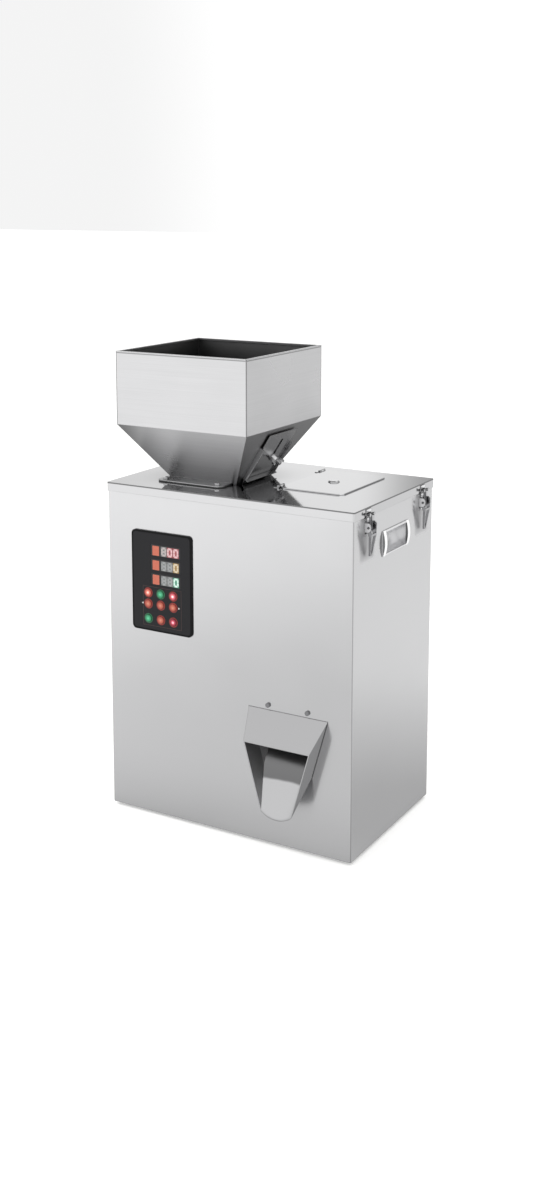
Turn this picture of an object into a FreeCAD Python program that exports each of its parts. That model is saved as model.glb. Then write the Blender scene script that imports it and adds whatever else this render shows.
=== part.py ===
import FreeCAD
import Part
import math
import os

# Powder filling machine: a bench-top feeder that vibrates powder out of a square
# hopper, weighs it in a bucket and drops it down a chute at the front.
# +Z is up, -Y is the front and the origin is on the table under the middle of the machine.
# Insets and setbacks run from the wall that they name, drops run down from the lid's top,
# and heights run up from the cabinet's bottom.

# Cabinet
CABINET_WIDTH = 430.0
CABINET_DEPTH = 278.0
CABINET_HEIGHT = 528.5
SHEET = 1.5
BEND_RADIUS = 2.5
RETURN_FLANGE = 14.0
FIT_GAP = 0.5
SEAT_GAP = 0.3
PIN_GAP = 0.05
HOLE_GAP = 0.1
BASE_PLATE = 2.0

# Feet
FOOT_RADIUS = 14.0
FOOT_BASE_RADIUS = 12.0
FOOT_DROP = 6.0
FOOT_INSET = 40.0
FOOT_SCREW_RADIUS = 2.5

# Lid
LID_SHEET = 1.2
LID_SKIRT = 14.0
LID_GAP = 0.3
LID_CORNER = 3.0

# Hopper
HOPPER_SIZE_X = 235.5
HOPPER_SIZE_Y = 234.5
HOPPER_LEFT = 10.4
HOPPER_FRONT = 12.4
HOPPER_BOX_HEIGHT = 115.0
HOPPER_BOX_ABOVE_LID = 90.2
HOPPER_SHEET = 1.5
HOPPER_RIM = 4.0
OUTLET_SIZE_X = 66.0
OUTLET_SIZE_Y = 45.0
OUTLET_BELOW_LID = 42.0
FEED_NOTCH_HEIGHT = 24.0
FLANGE_LENGTH = 118.0
FLANGE_REACH = 33.0
FLANGE_SHIFT = -6.0
FLANGE_CORNER = 9.0
GASKET = 1.5
BOLT_SPACING = 95.0
BOLT_REACH = 23.8
BOLT_RADIUS = 2.4
BOLT_HEAD_RADIUS = 4.4
BOLT_HEAD_HEIGHT = 3.4
BOLT_SHANK = 14.0

# Gate on the funnel's right slope, measured down the slope from the box's bottom edge
GATE_WIDTH = 84.0
GATE_SHEET = 1.5
GATE_TOP = 10.0
GATE_SHOULDER = 105.0
GATE_TONGUE_WIDTH = 50.0
GATE_TIP = 133.0
GATE_SLOT_WIDTH = 7.0
GATE_SLOT_TOP = 24.0
GUIDE_TOP = 35.0
GUIDE_BOTTOM = 95.0
GUIDE_SHEET = 2.0
GUIDE_RAIL = 2.5
GUIDE_RAIL_HEIGHT = 8.0
GUIDE_BRIDGE_HEIGHT = 11.0
STUD_DOWN = 60.0
STUD_OFFSET = 8.5
STUD_RADIUS = 3.0
STUD_LENGTH = 22.0
WASHER_RADIUS = 7.0
WASHER_SHEET = 1.2
WASHER_GAP = 0.2
NUT_HUB_RADIUS = 6.0
NUT_HUB_TOP_RADIUS = 4.8
NUT_HUB_HEIGHT = 8.0
NUT_SPAN = 32.0
NUT_WING_SHEET = 2.6
NUT_WING_RISE = 15.0
NUT_WING_ROOT = 3.0
NUT_WING_WAIST = 9.0
NUT_WING_TIP = 6.0

# Access cover on the lid
COVER_SIZE_X = 108.0
COVER_SIZE_Y = 156.0
COVER_RIGHT_INSET = 65.0
COVER_FRONT = 89.5
COVER_SHEET = 1.7
COVER_CORNER = 10.0
ACCESS_MARGIN = 12.0
ACCESS_CORNER = 5.0
KNOB_RADIUS = 9.0
KNOB_TOP_RADIUS = 7.4
KNOB_HEIGHT = 1.2
KNOB_BEVEL = 1.2
HINGE_RADIUS = 2.0
HINGE_PIN_RADIUS = 1.0
HINGE_LIFT = 2.4
HINGE_LENGTH = 18.0
HINGE_INSET = 2.0
HINGE_LEAF = 8.0
HINGE_LEAF_SHEET = 1.0

# Keypad, with the displays placed from the panel's top and the keys from its bottom
PANEL_LEFT = 45.6
PANEL_WIDTH = 110.8
PANEL_BOTTOM = 300.0
PANEL_HEIGHT = 159.4
PANEL_SHEET = 2.5
PANEL_CORNER = 7.0
PANEL_LAP = 8.0
DISPLAY_LEFT = 36.0
DISPLAY_WIDTH = 54.0
DISPLAY_DROP = 20.4
DISPLAY_SPACE = 5.0
DISPLAY_KEY_GAP = 8.0
DISPLAY_ROWS = 3
KEY_RADIUS = 5.8
KEY_PROUD = 1.6
KEY_TRAVEL = 0.8
KEY_LEFT = 30.4
KEY_PITCH = 23.1
KEY_COLUMNS = 3
KEY_ROW_HIGH = 61.2
KEY_ROW_MIDDLE = 43.4
KEY_ROW_LOW = 19.8
KEY_STEM = 4.6
SWITCH_SIZE = 6.0
BOARD_DEPTH = 14.0
BOARD_SHEET = 1.6
STANDOFF_RADIUS = 3.0

# Discharge chute
CHUTE_RIGHT_INSET = 106.7
CHUTE_REACH = 35.5
CHUTE_TOP = 210.0
CHUTE_LIP_TOP = 170.0
CHUTE_LIP_BOTTOM = 65.4
CHUTE_LIP_HALF = 26.2
CHUTE_SAG = 9.4
CHUTE_SLOPE = math.radians(57.0)
CHUTE_FLARE = 0.284
CHUTE_SHEET = 1.5
CHUTE_INSIDE = 125.0
CHUTE_END_HEIGHT = 26.0
CHUTE_TAB_HEIGHT = 16.0
CHUTE_TAB_MARGIN = 7.2
CHUTE_SCREW_HEIGHT = 7.6
CHUTE_SCREW_SPACING = 67.0
SCREW_RADIUS = 1.9
SCREW_HEAD_RADIUS = 3.6
SCREW_HEAD_HEIGHT = 2.6

# Discharge funnel between the bucket and the chute
DROP_TOP_SIZE = 96.0
DROP_TOP = 398.0
DROP_BOTTOM = 300.0
DROP_OUTLET_X = 60.0
DROP_OUTLET_Y = 50.0
DROP_OUTLET_BACK = 62.0
DROP_SHEET = 1.2
STRAP_HALF = 20.0
STRAP_SHEET = 2.0
STRAP_DROP = 2.0
STRAP_FOOT = 22.0
STRAP_LAP = 3.0

# Toggle latches
LATCH_SETBACK = 43.0
LATCH_PIVOT_DROP = 28.6
LATCH_PIVOT_OUT = 6.9
LATCH_CRANK = 4.5
LATCH_OVERCENTRE = math.radians(8.0)
LATCH_BAR_OUT = 5.0
LATCH_BAR_DROP = 9.6
LATCH_BAR_HALF = 8.8
LATCH_WIRE = 1.2
LATCH_LEG_WIRE = 1.1
LATCH_HALF = 10.5
LATCH_EAR = 1.2
LATCH_EAR_HALF = 7.0
LATCH_EAR_OUT = 10.6
LATCH_EAR_CHAMFER = 3.0
LATCH_PLATE_HEIGHT = 26.0
LATCH_LEG_OFFSET = 2.6
LATCH_CHEEK = 1.2
LATCH_CHEEK_INSIDE = 7.6
LATCH_BOSS_RADIUS = 3.8
LATCH_CRANK_LAND = 2.8
LATCH_WEB_DROP = 5.0
LATCH_WEB_HEIGHT = 4.0
LATCH_TAIL = 43.0
LATCH_TAIL_DEPTH = 4.0
LATCH_FACE_OUT = 10.7
LATCH_LEG_WIDTH = 2.4
LATCH_TIP_HALF = 3.2
LATCH_TIP_HEIGHT = 5.0
LATCH_TIP_IN = 6.6
LATCH_TIP_OUT = 3.8
LATCH_PIN_RADIUS = 1.5
LATCH_PIN_PROUD = 1.5
KEEPER_HALF = 7.8
KEEPER_HOOK = 2.6
KEEPER_SHEET = 1.2
KEEPER_CLEAR = 1.2
KEEPER_LIP_RISE = 1.8
KEEPER_TOP_DROP = 2.5

# Flush handles
HANDLE_SETBACK = 94.5
HANDLE_LENGTH = 90.0
HANDLE_HEIGHT = 39.0
HANDLE_CENTRE_DROP = 66.5
HANDLE_CROWN = 3.3
HANDLE_EDGE = 1.2
HANDLE_RIM = 8.5
HANDLE_LAND = 3.0
HANDLE_DEPTH = 15.0
HANDLE_WALL = 1.5

# Vibrating feeder
TRAY_FLOOR_BELOW_OUTLET = 12.0
TRAY_INNER_WIDTH = 62.0
TRAY_WALL = 20.0
TRAY_SHEET = 1.5
TRAY_BACK = 72.0
TRAY_OVER_BUCKET = 11.7
TRAY_RIB_HEIGHT = 12.0
TRAY_RIB_HALF = 18.0
LEAF_LEAN = math.radians(15.0)
LEAF_LENGTH = 42.0
LEAF_SHEET = 1.5
LEAF_HALF = 25.0
LEAF_GAP = 0.5
LEAF_HEADROOM = 2.5
LEAF_FIRST = 105.0
LEAF_SPACING = 90.0
LUG_LENGTH = 12.0
LUG_THICKNESS = 10.0
LUG_ROOT = 4.0
LUG_OVER = 5.0
FEEDER_BASE_LEFT = 70.0
FEEDER_BASE_LENGTH = 150.0
FEEDER_BASE_HALF = 30.0
FEEDER_BASE_HEIGHT = 15.0
COIL_LENGTH = 44.0
COIL_HALF = 20.0
COIL_HEIGHT = 30.0
COIL_CORNER = 8.0
CORE_HALF = 10.0
CORE_INSET = 6.0
CORE_PROUD = 4.0
ARMATURE_GAP = 0.9

# Frame inside
TABLE_LEFT = 40.0
TABLE_LENGTH = 190.0
TABLE_HALF = 55.0
TABLE_SHEET = 2.0
TABLE_FOOT = 18.0
TABLE_WINDOW_MARGIN = 60.0
COLUMN_SIZE = 30.0
COLUMN_WALL = 2.0
COLUMN_RIGHT_INSET = 72.0
COLUMN_FRONT = 190.0

# Weigh bucket and load cell
BUCKET_SIZE = 70.0
BUCKET_TOP = 466.0
BUCKET_KNEE = 440.0
BUCKET_BOTTOM = 410.0
BUCKET_MOUTH = 50.0
BUCKET_SHEET = 1.0
BUCKET_EAR_GAP = 2.0
BUCKET_EAR_SHEET = 2.0
BUCKET_EAR_HEIGHT = 14.0
FLAP_SHEET = 1.5
FLAP_LAP = 1.0
FLAP_PIN_RADIUS = 1.5
FLAP_PIN_DROP = 1.0
FLAP_TUBE_RADIUS = 3.0
FLAP_LEVER_HALF = 5.0
FLAP_LEVER_LAP = 2.5
CELL_LENGTH = 80.0
CELL_SECTION = 12.7
CELL_HOLE_RADIUS = 4.5
CELL_HOLE_SPACING = 10.8
CELL_RIGHT_INSET = 42.0
CELL_BOTTOM = 438.0
HANGER_SHEET = 3.0
HANGER_WIDTH = 18.0
SOLENOID_SIZE = 16.0
SOLENOID_BOTTOM = 423.0
SOLENOID_HEIGHT = 22.0
PLUNGER_RADIUS = 4.0
PLUNGER_LENGTH = 26.0
PLUNGER_GAP = 1.5

# Power parts
SUPPLY_LENGTH = 110.0
SUPPLY_WIDTH = 78.0
SUPPLY_HEIGHT = 38.0
SUPPLY_LEFT = 76.0
SUPPLY_FRONT = 95.0
SUPPLY_STEP = 16.0
SUPPLY_STEP_HEIGHT = 19.0
REAR_OPENING_SIDE = 24.0
REAR_OPENING_BOTTOM = 30.0
REAR_OPENING_TOP = 480.0
REAR_LAP = 10.0
REAR_CORNER = 5.0
REAR_SCREW_SHANK = 5.0
VENT_COUNT = 9
VENT_SPACING = 172.0
VENT_LENGTH = 60.0
VENT_HEIGHT = 4.0
VENT_PITCH = 11.0
VENT_BOTTOM = 330.0
INLET_WIDTH = 28.0
INLET_HEIGHT = 60.0
INLET_RIGHT_INSET = 70.0
INLET_BOTTOM = 60.0
INLET_FLANGE = 2.5
INLET_FLANGE_LAP = 4.0
INLET_FLANGE_CORNER = 3.0
INLET_DEPTH = 28.0
SOCKET_WALL = 2.0
SOCKET_HEIGHT = 23.0
SOCKET_FLOOR = 3.0
SOCKET_DEPTH = 16.0
SOCKET_PIN_HALF = 1.0
SOCKET_PIN_HEIGHT = 5.0
SOCKET_PIN_START = 5.0
SOCKET_PIN_SPREAD = 7.0
SOCKET_PIN_LOW = 20.0
SOCKET_PIN_HIGH = 12.0
ROCKER_WIDTH = 13.0
ROCKER_HEIGHT = 19.0
ROCKER_PROUD = 3.5
ROCKER_TOP_GAP = 3.0
ROCKER_DEPTH = 12.0
ROCKER_AXLE = 1.5
ROCKER_AXLE_DEPTH = 4.0
DRAWER_WIDTH = 20.0
DRAWER_HEIGHT = 6.0
DRAWER_DEPTH = 20.0
DRAWER_DROP = 1.0
DRAWER_PROUD = 1.0
DRAWER_GRIP = 2.0

# Places worked out from the sizes above
LEFT_X = -CABINET_WIDTH / 2
RIGHT_X = CABINET_WIDTH / 2
REAR_REACH = SHEET + INLET_FLANGE + ROCKER_PROUD
FRONT_Y = (CHUTE_REACH - CABINET_DEPTH - REAR_REACH) / 2
REAR_Y = FRONT_Y + CABINET_DEPTH
BOTTOM_Z = FOOT_DROP
LID_TOP = BOTTOM_Z + CABINET_HEIGHT
SHELL_TOP = LID_TOP - LID_SHEET
FLOOR_Z = BOTTOM_Z + SHEET + BASE_PLATE
HOPPER_X = LEFT_X + HOPPER_LEFT + HOPPER_SIZE_X / 2
HOPPER_Y = FRONT_Y + HOPPER_FRONT + HOPPER_SIZE_Y / 2
FUNNEL_TOP = LID_TOP + HOPPER_BOX_ABOVE_LID
HOPPER_TOP = FUNNEL_TOP + HOPPER_BOX_HEIGHT
OUTLET_Z = LID_TOP - OUTLET_BELOW_LID
FUNNEL_HEIGHT = FUNNEL_TOP - OUTLET_Z
SLOPE_ANGLE = math.atan2((HOPPER_SIZE_X - OUTLET_SIZE_X) / 2, FUNNEL_HEIGHT)
FLANGE_TOP = LID_TOP + GASKET + HOPPER_SHEET
GATE_FLOAT = GUIDE_SHEET + SEAT_GAP
NUT_SEAT = GATE_FLOAT + GATE_SHEET + WASHER_GAP
COVER_X = RIGHT_X - COVER_RIGHT_INSET - COVER_SIZE_X
COVER_Y = FRONT_Y + COVER_FRONT
COVER_TOP = LID_TOP + SEAT_GAP + COVER_SHEET
HINGE_X = COVER_X - HINGE_RADIUS - FIT_GAP
HINGE_Z = LID_TOP + HINGE_LIFT
CHUTE_X = RIGHT_X - CHUTE_RIGHT_INSET
BUCKET_X = CHUTE_X
BUCKET_Y = HOPPER_Y
DISPLAY_LOW = KEY_ROW_HIGH + KEY_RADIUS + DISPLAY_KEY_GAP
DISPLAY_PITCH = (PANEL_HEIGHT - DISPLAY_DROP - DISPLAY_LOW + DISPLAY_SPACE) / DISPLAY_ROWS
DISPLAY_HEIGHT = DISPLAY_PITCH - DISPLAY_SPACE
PIVOT_Z = LID_TOP - LATCH_PIVOT_DROP
BAR_Z = LID_TOP - LATCH_BAR_DROP
CRANK_OUT = LATCH_PIVOT_OUT - LATCH_CRANK * math.sin(LATCH_OVERCENTRE)
CRANK_Z = PIVOT_Z - LATCH_CRANK * math.cos(LATCH_OVERCENTRE)
LATCH_ROWS = (FRONT_Y + LATCH_SETBACK, REAR_Y - LATCH_SETBACK)
CHEEK_OUTSIDE = LATCH_CHEEK_INSIDE + LATCH_CHEEK
HANDLE_Z = LID_TOP - HANDLE_CENTRE_DROP
HANDLE_Y = FRONT_Y + HANDLE_SETBACK
TRAY_FLOOR = OUTLET_Z - TRAY_FLOOR_BELOW_OUTLET
TRAY_END_X = BUCKET_X - BUCKET_SIZE / 2 + TRAY_OVER_BUCKET
RIB_BOTTOM = TRAY_FLOOR - TRAY_SHEET - TRAY_RIB_HEIGHT
LEAF_STATIONS = (LEFT_X + LEAF_FIRST, LEFT_X + LEAF_FIRST + LEAF_SPACING)
LEAF_FOOT_Z = RIB_BOTTOM - LEAF_LENGTH * math.cos(LEAF_LEAN) - LEAF_HEADROOM
TABLE_TOP = LEAF_FOOT_Z - FEEDER_BASE_HEIGHT
COIL_X = LEFT_X + LEAF_FIRST + LEAF_SPACING / 2
ARMATURE_Z = LEAF_FOOT_Z + COIL_HEIGHT + CORE_PROUD + ARMATURE_GAP
FLAP_PIN_Y = BUCKET_Y + BUCKET_MOUTH / 2 + FLAP_TUBE_RADIUS + FLAP_LAP
FLAP_PIN_Z = BOTTOM_Z + BUCKET_BOTTOM - FLAP_PIN_DROP
FLAP_TOP = BOTTOM_Z + BUCKET_BOTTOM - SEAT_GAP
PLUNGER_Y = BUCKET_Y + BUCKET_SIZE / 2 + SOLENOID_SIZE / 2
CELL_X = RIGHT_X - CELL_RIGHT_INSET - CELL_LENGTH
CELL_FRONT = FRONT_Y + COLUMN_FRONT + (COLUMN_SIZE - CELL_SECTION) / 2
INLET_X = RIGHT_X - INLET_RIGHT_INSET
INLET_Z = BOTTOM_Z + INLET_BOTTOM + INLET_HEIGHT / 2
INLET_FACE = REAR_Y + SHEET + INLET_FLANGE
ROCKER_Z = INLET_Z + INLET_HEIGHT / 2 - ROCKER_HEIGHT / 2 - ROCKER_TOP_GAP
DRAWER_Z = INLET_Z - DRAWER_DROP
EXTRA = 1.0


def vec(x, y, z):
    return FreeCAD.Vector(x, y, z)


def box(x0, x1, y0, y1, z0, z1):
    return Part.makeBox(x1 - x0, y1 - y0, z1 - z0, vec(x0, y0, z0))


def rod(radius, start, end):
    path = end.sub(start)
    return Part.makeCylinder(radius, path.Length, start, path)


def round_edges(solid, radius, direction):
    """Fillets every straight edge that runs along the direction."""
    chosen = []
    for edge in solid.Edges:
        if isinstance(edge.Curve, Part.Line) and abs(abs(edge.Curve.Direction.dot(direction)) - 1) < 1e-6:
            chosen.append(edge)
    return solid.makeFillet(radius, chosen)


def flat(points):
    """Flat face inside a closed polygon."""
    return Part.Face(Part.makePolygon(points + points[:1]))


def prism(points, path):
    return flat(points).extrude(path)


def frustum(low, high):
    """Solid with flat sides between two outlines of as many corners."""
    faces = [flat(low), flat(high)]
    for at in range(len(low)):
        after = (at + 1) % len(low)
        faces.append(flat([low[at], low[after], high[after], high[at]]))
    return Part.makeSolid(Part.makeShell(faces))


def rectangle(x, y, half_x, half_y, z):
    """Corners of a level rectangle round a middle."""
    return [vec(x - half_x, y - half_y, z), vec(x + half_x, y - half_y, z),
            vec(x + half_x, y + half_y, z), vec(x - half_x, y + half_y, z)]


def union(solids):
    whole = solids[0].fuse(solids[1:])
    return whole.removeSplitter()


def cut(solid, tools):
    return solid.cut(Part.makeCompound(tools))


def screw(head, direction, shank, radius=SCREW_RADIUS, head_radius=SCREW_HEAD_RADIUS, height=SCREW_HEAD_HEIGHT):
    """Cheese-head screw: head is the point under the head, direction is where the shank goes."""
    crown = Part.makeCylinder(head_radius, height, head, direction.negative())
    return crown.fuse(Part.makeCylinder(radius, shank, head, direction))


def nut(radius, height, middle, across, up):
    """Hexagon nut on the plane through across and up, thick along their normal."""
    corners = []
    for step in range(6):
        angle = math.radians(60 * step)
        corners.append(middle + across * (radius * math.cos(angle)) + up * (radius * math.sin(angle)))
    return prism(corners, across.cross(up) * height)


def save(name, shape):
    shape.exportStep("parts/" + name + ".step")


def chute_floor(y):
    """Height of the trough's edge at a distance y behind the panel's face."""
    return BOTTOM_Z + CHUTE_LIP_BOTTOM + (y + CHUTE_REACH) * math.tan(CHUTE_SLOPE)


def chute_half():
    """Half width of the trough's floor where it meets the panel, and behind it."""
    return CHUTE_LIP_HALF + (chute_floor(0) - chute_floor(-CHUTE_REACH)) * CHUTE_FLARE


def chute_section(y, half, top, inset=0.0):
    """Points across the chute: left edge, lowest point and right edge of its floor, then the cheeks' tops."""
    side = half - inset / math.cos(math.atan(CHUTE_FLARE))
    rise = inset / math.cos(CHUTE_SLOPE)
    low = chute_floor(y) + rise
    narrow = side + rise * CHUTE_FLARE
    wide = side + (top - chute_floor(y)) * CHUTE_FLARE
    place = FRONT_Y + y
    dip = vec(CHUTE_X, place, low - CHUTE_SAG)
    floor = [vec(CHUTE_X - narrow, place, low), dip, vec(CHUTE_X + narrow, place, low)]
    return floor + [vec(CHUTE_X + wide, place, top), vec(CHUTE_X - wide, place, top)]


def chute_face(points):
    left, dip, right, right_top, left_top = points
    sides = Part.makePolygon([right, right_top, left_top, left])
    return Part.Face(Part.Wire([Part.Arc(left, dip, right).toShape()] + sides.Edges))


def duct(first, second):
    """Solid between two sections: a rounded floor between flat cheeks."""
    floor = Part.makeRuledSurface(Part.Arc(*first[:3]).toShape(), Part.Arc(*second[:3]).toShape())
    faces = [chute_face(first), chute_face(second), floor]
    for a, b in ((2, 3), (3, 4), (4, 0)):
        faces.append(flat([first[a], first[b], second[b], second[a]]))
    return Part.makeSolid(Part.makeShell(faces))


def chute_hood(inset=0.0, reach=0.0):
    """The part in front of the panel, from the lip back to the panel's face."""
    slope = (CHUTE_TOP - CHUTE_LIP_TOP) / CHUTE_REACH
    drop = inset * math.sqrt(1 + slope * slope)
    lip_half = CHUTE_LIP_HALF - reach * math.tan(CHUTE_SLOPE) * CHUTE_FLARE
    lip_top = BOTTOM_Z + CHUTE_LIP_TOP - reach * slope - drop
    lip = chute_section(-CHUTE_REACH - reach, lip_half, lip_top, inset)
    return duct(lip, chute_section(0, chute_half(), BOTTOM_Z + CHUTE_TOP - drop, inset))


def chute_throat(inset=0.0):
    """The part that passes through the panel."""
    top = BOTTOM_Z + CHUTE_TOP - inset
    return duct(chute_section(0, chute_half(), top, inset), chute_section(2 * SHEET, chute_half(), top, inset))


def chute_trough(inset=0.0, rise=0.0, reach=0.0):
    """The trough behind the panel, whose cheeks get lower towards its back end."""
    end = CHUTE_INSIDE + reach
    root = chute_section(2 * SHEET, chute_half(), BOTTOM_Z + CHUTE_TOP + rise, inset)
    return duct(root, chute_section(end, chute_half(), chute_floor(end) + CHUTE_END_HEIGHT + rise, inset))


def chute_screw_places():
    half = CHUTE_SCREW_SPACING / 2
    z = BOTTOM_Z + CHUTE_TOP + CHUTE_SCREW_HEIGHT
    return [(CHUTE_X - half, z), (CHUTE_X + half, z)]


def make_chute():
    outer = union([chute_hood(), chute_throat(), chute_trough()])
    half = CHUTE_SCREW_SPACING / 2 + CHUTE_TAB_MARGIN
    top = BOTTOM_Z + CHUTE_TOP
    tab = box(CHUTE_X - half, CHUTE_X + half, FRONT_Y + SHEET, FRONT_Y + 2 * SHEET,
              top - CHUTE_SHEET, top + CHUTE_TAB_HEIGHT)
    tools = [chute_hood(CHUTE_SHEET, EXTRA), chute_throat(CHUTE_SHEET)]
    tools.append(chute_trough(CHUTE_SHEET, CHUTE_END_HEIGHT, EXTRA))
    tools += wall_holes(chute_screw_places(), FRONT_Y)
    return cut(outer.fuse(tab), tools).removeSplitter()


def make_chute_screws():
    screws = []
    for x, z in chute_screw_places():
        seat = vec(x, FRONT_Y + 2 * SHEET, z)
        back = nut(SCREW_HEAD_RADIUS, SCREW_HEAD_HEIGHT, seat, vec(0, 0, 1), vec(1, 0, 0))
        screws.append(screw(vec(x, FRONT_Y, z), vec(0, 1, 0), 2 * SHEET + SCREW_HEAD_HEIGHT).fuse(back))
    return Part.makeCompound(screws)


def chute_cutout():
    """Opening in the front panel, a gap wider than the chute's outline there."""
    outline = chute_section(0, chute_half(), BOTTOM_Z + CHUTE_TOP + SEAT_GAP, -SEAT_GAP)
    hole = chute_face(outline).extrude(vec(0, SHEET + 2 * EXTRA, 0))
    hole.translate(vec(0, -EXTRA, 0))
    return hole


def wall_holes(places, y):
    """Screw holes through the sheets at y."""
    return [rod(SCREW_RADIUS + HOLE_GAP, vec(x, y - 3 * SHEET, z), vec(x, y + 3 * SHEET, z)) for x, z in places]


def to_side(shape, side):
    """Moves a piece from the wall's own frame to the right wall, or mirrors it to the left."""
    placed = shape.copy()
    placed.translate(vec(RIGHT_X, 0, 0))
    if side < 0:
        placed = placed.mirror(vec(0, 0, 0), vec(1, 0, 0))
    return placed


def handle_dish(grow, out):
    """Round-backed trough that goes into the wall, larger all round by grow."""
    half = HANDLE_HEIGHT / 2 - HANDLE_LAND + grow
    y0 = HANDLE_Y + HANDLE_RIM - grow
    y1 = HANDLE_Y + HANDLE_LENGTH - HANDLE_RIM + grow
    high = vec(0, y0, HANDLE_Z + half)
    low = vec(0, y0, HANDLE_Z - half)
    bowl = Part.Arc(high, vec(-HANDLE_DEPTH - grow, y0, HANDLE_Z), low).toShape()
    mouth = Part.makePolygon([low, vec(out, y0, low.z), vec(out, y0, high.z), high])
    return Part.Face(Part.Wire([bowl] + mouth.Edges)).extrude(vec(0, y1 - y0, 0))


def make_handle(side):
    """Flush cup handle: a plate with an arched face round a dish for the fingers."""
    half = HANDLE_HEIGHT / 2
    low = vec(HANDLE_EDGE, HANDLE_Y, HANDLE_Z - half)
    high = vec(HANDLE_EDGE, HANDLE_Y, HANDLE_Z + half)
    crown = Part.Arc(high, vec(HANDLE_EDGE + HANDLE_CROWN, HANDLE_Y, HANDLE_Z), low).toShape()
    back = Part.makePolygon([low, vec(0, HANDLE_Y, low.z), vec(0, HANDLE_Y, high.z), high])
    plate = Part.Face(Part.Wire([crown] + back.Edges)).extrude(vec(0, HANDLE_LENGTH, 0))
    inside = handle_dish(0, HANDLE_EDGE + HANDLE_CROWN + EXTRA)
    return to_side(plate.fuse(handle_dish(HANDLE_WALL, HANDLE_EDGE / 2)).cut(inside), side)


def handle_cutout(side):
    return to_side(handle_dish(HANDLE_WALL + FIT_GAP, EXTRA), side)


def make_shell():
    outer = box(LEFT_X, RIGHT_X, FRONT_Y, REAR_Y, BOTTOM_Z, SHELL_TOP)
    outer = round_edges(outer, BEND_RADIUS, vec(0, 0, 1))
    hollow = box(LEFT_X + SHEET, RIGHT_X - SHEET, FRONT_Y + SHEET, REAR_Y - SHEET,
                 BOTTOM_Z + SHEET, SHELL_TOP - SHEET)
    lap = RETURN_FLANGE
    through = box(LEFT_X + lap, RIGHT_X - lap, FRONT_Y + lap, REAR_Y - lap, BOTTOM_Z - EXTRA, LID_TOP)
    rear = box(LEFT_X + REAR_OPENING_SIDE, RIGHT_X - REAR_OPENING_SIDE, REAR_Y - 2 * SHEET, REAR_Y + EXTRA,
               BOTTOM_Z + REAR_OPENING_BOTTOM, BOTTOM_Z + REAR_OPENING_TOP)
    keypad = box(panel_x(PANEL_LAP), panel_x(PANEL_WIDTH - PANEL_LAP), FRONT_Y - EXTRA, FRONT_Y + 2 * SHEET,
                 panel_z(PANEL_LAP), panel_z(PANEL_HEIGHT - PANEL_LAP))
    tools = [hollow, through, rear, keypad, chute_cutout(), handle_cutout(1), handle_cutout(-1)]
    tools += wall_holes(chute_screw_places(), FRONT_Y)
    tools += wall_holes(rear_screw_places(), REAR_Y)
    return cut(outer, tools)


def foot_places():
    xs = (LEFT_X + FOOT_INSET, RIGHT_X - FOOT_INSET)
    ys = (FRONT_Y + FOOT_INSET, REAR_Y - FOOT_INSET)
    return [(x, y) for x in xs for y in ys]


def make_base_plate():
    gap = SHEET + FIT_GAP
    plate = box(LEFT_X + gap, RIGHT_X - gap, FRONT_Y + gap, REAR_Y - gap, BOTTOM_Z + SHEET, FLOOR_Z)
    holes = [rod(FOOT_SCREW_RADIUS, vec(x, y, BOTTOM_Z), vec(x, y, FLOOR_Z + EXTRA)) for x, y in foot_places()]
    return cut(plate, holes)


def make_feet():
    height = BOTTOM_Z + SHEET
    return Part.makeCompound([Part.makeCone(FOOT_BASE_RADIUS, FOOT_RADIUS, height, vec(x, y, 0))
                              for x, y in foot_places()])


def rear_screw_places():
    side = REAR_OPENING_SIDE - REAR_LAP / 2
    bottom = BOTTOM_Z + REAR_OPENING_BOTTOM
    top = BOTTOM_Z + REAR_OPENING_TOP
    return [(x, z) for x in (LEFT_X + side, RIGHT_X - side) for z in (bottom, (bottom + top) / 2, top)]


def inlet_outline(grow, y0, y1):
    half = INLET_WIDTH / 2 + grow
    tall = INLET_HEIGHT / 2 + grow
    return box(INLET_X - half, INLET_X + half, y0, y1, INLET_Z - tall, INLET_Z + tall)


def make_rear_panel():
    side = REAR_OPENING_SIDE - REAR_LAP
    plate = box(LEFT_X + side, RIGHT_X - side, REAR_Y, REAR_Y + SHEET,
                BOTTOM_Z + REAR_OPENING_BOTTOM - REAR_LAP, BOTTOM_Z + REAR_OPENING_TOP + REAR_LAP)
    plate = round_edges(plate, REAR_CORNER, vec(0, 1, 0))
    tools = [inlet_outline(FIT_GAP, REAR_Y - EXTRA, REAR_Y + 2 * SHEET)]
    tools += wall_holes(rear_screw_places(), REAR_Y)
    for row in range(VENT_COUNT):
        z = BOTTOM_Z + VENT_BOTTOM + row * VENT_PITCH
        for centre in (-VENT_SPACING / 2, VENT_SPACING / 2):
            tools.append(box(centre - VENT_LENGTH / 2, centre + VENT_LENGTH / 2, REAR_Y - EXTRA,
                             REAR_Y + 2 * SHEET, z, z + VENT_HEIGHT))
    return cut(plate, tools)


def make_rear_screws():
    return Part.makeCompound([screw(vec(x, REAR_Y + SHEET, z), vec(0, -1, 0), REAR_SCREW_SHANK)
                              for x, z in rear_screw_places()])


def funnel_half(z, size, outlet):
    """Half width of the funnel's outside at a height."""
    share = (z - OUTLET_Z) / FUNNEL_HEIGHT
    return outlet / 2 + (size - outlet) / 2 * share


def bolt_places():
    middle = HOPPER_X + FLANGE_SHIFT
    reach = funnel_half(FLANGE_TOP, HOPPER_SIZE_Y, OUTLET_SIZE_Y) + BOLT_REACH
    return [(x, HOPPER_Y + side * reach) for x in (middle - BOLT_SPACING / 2, middle + BOLT_SPACING / 2)
            for side in (-1, 1)]


def bolt_holes(bottom, top):
    return [rod(BOLT_RADIUS + HOLE_GAP, vec(x, y, bottom), vec(x, y, top)) for x, y in bolt_places()]


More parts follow.
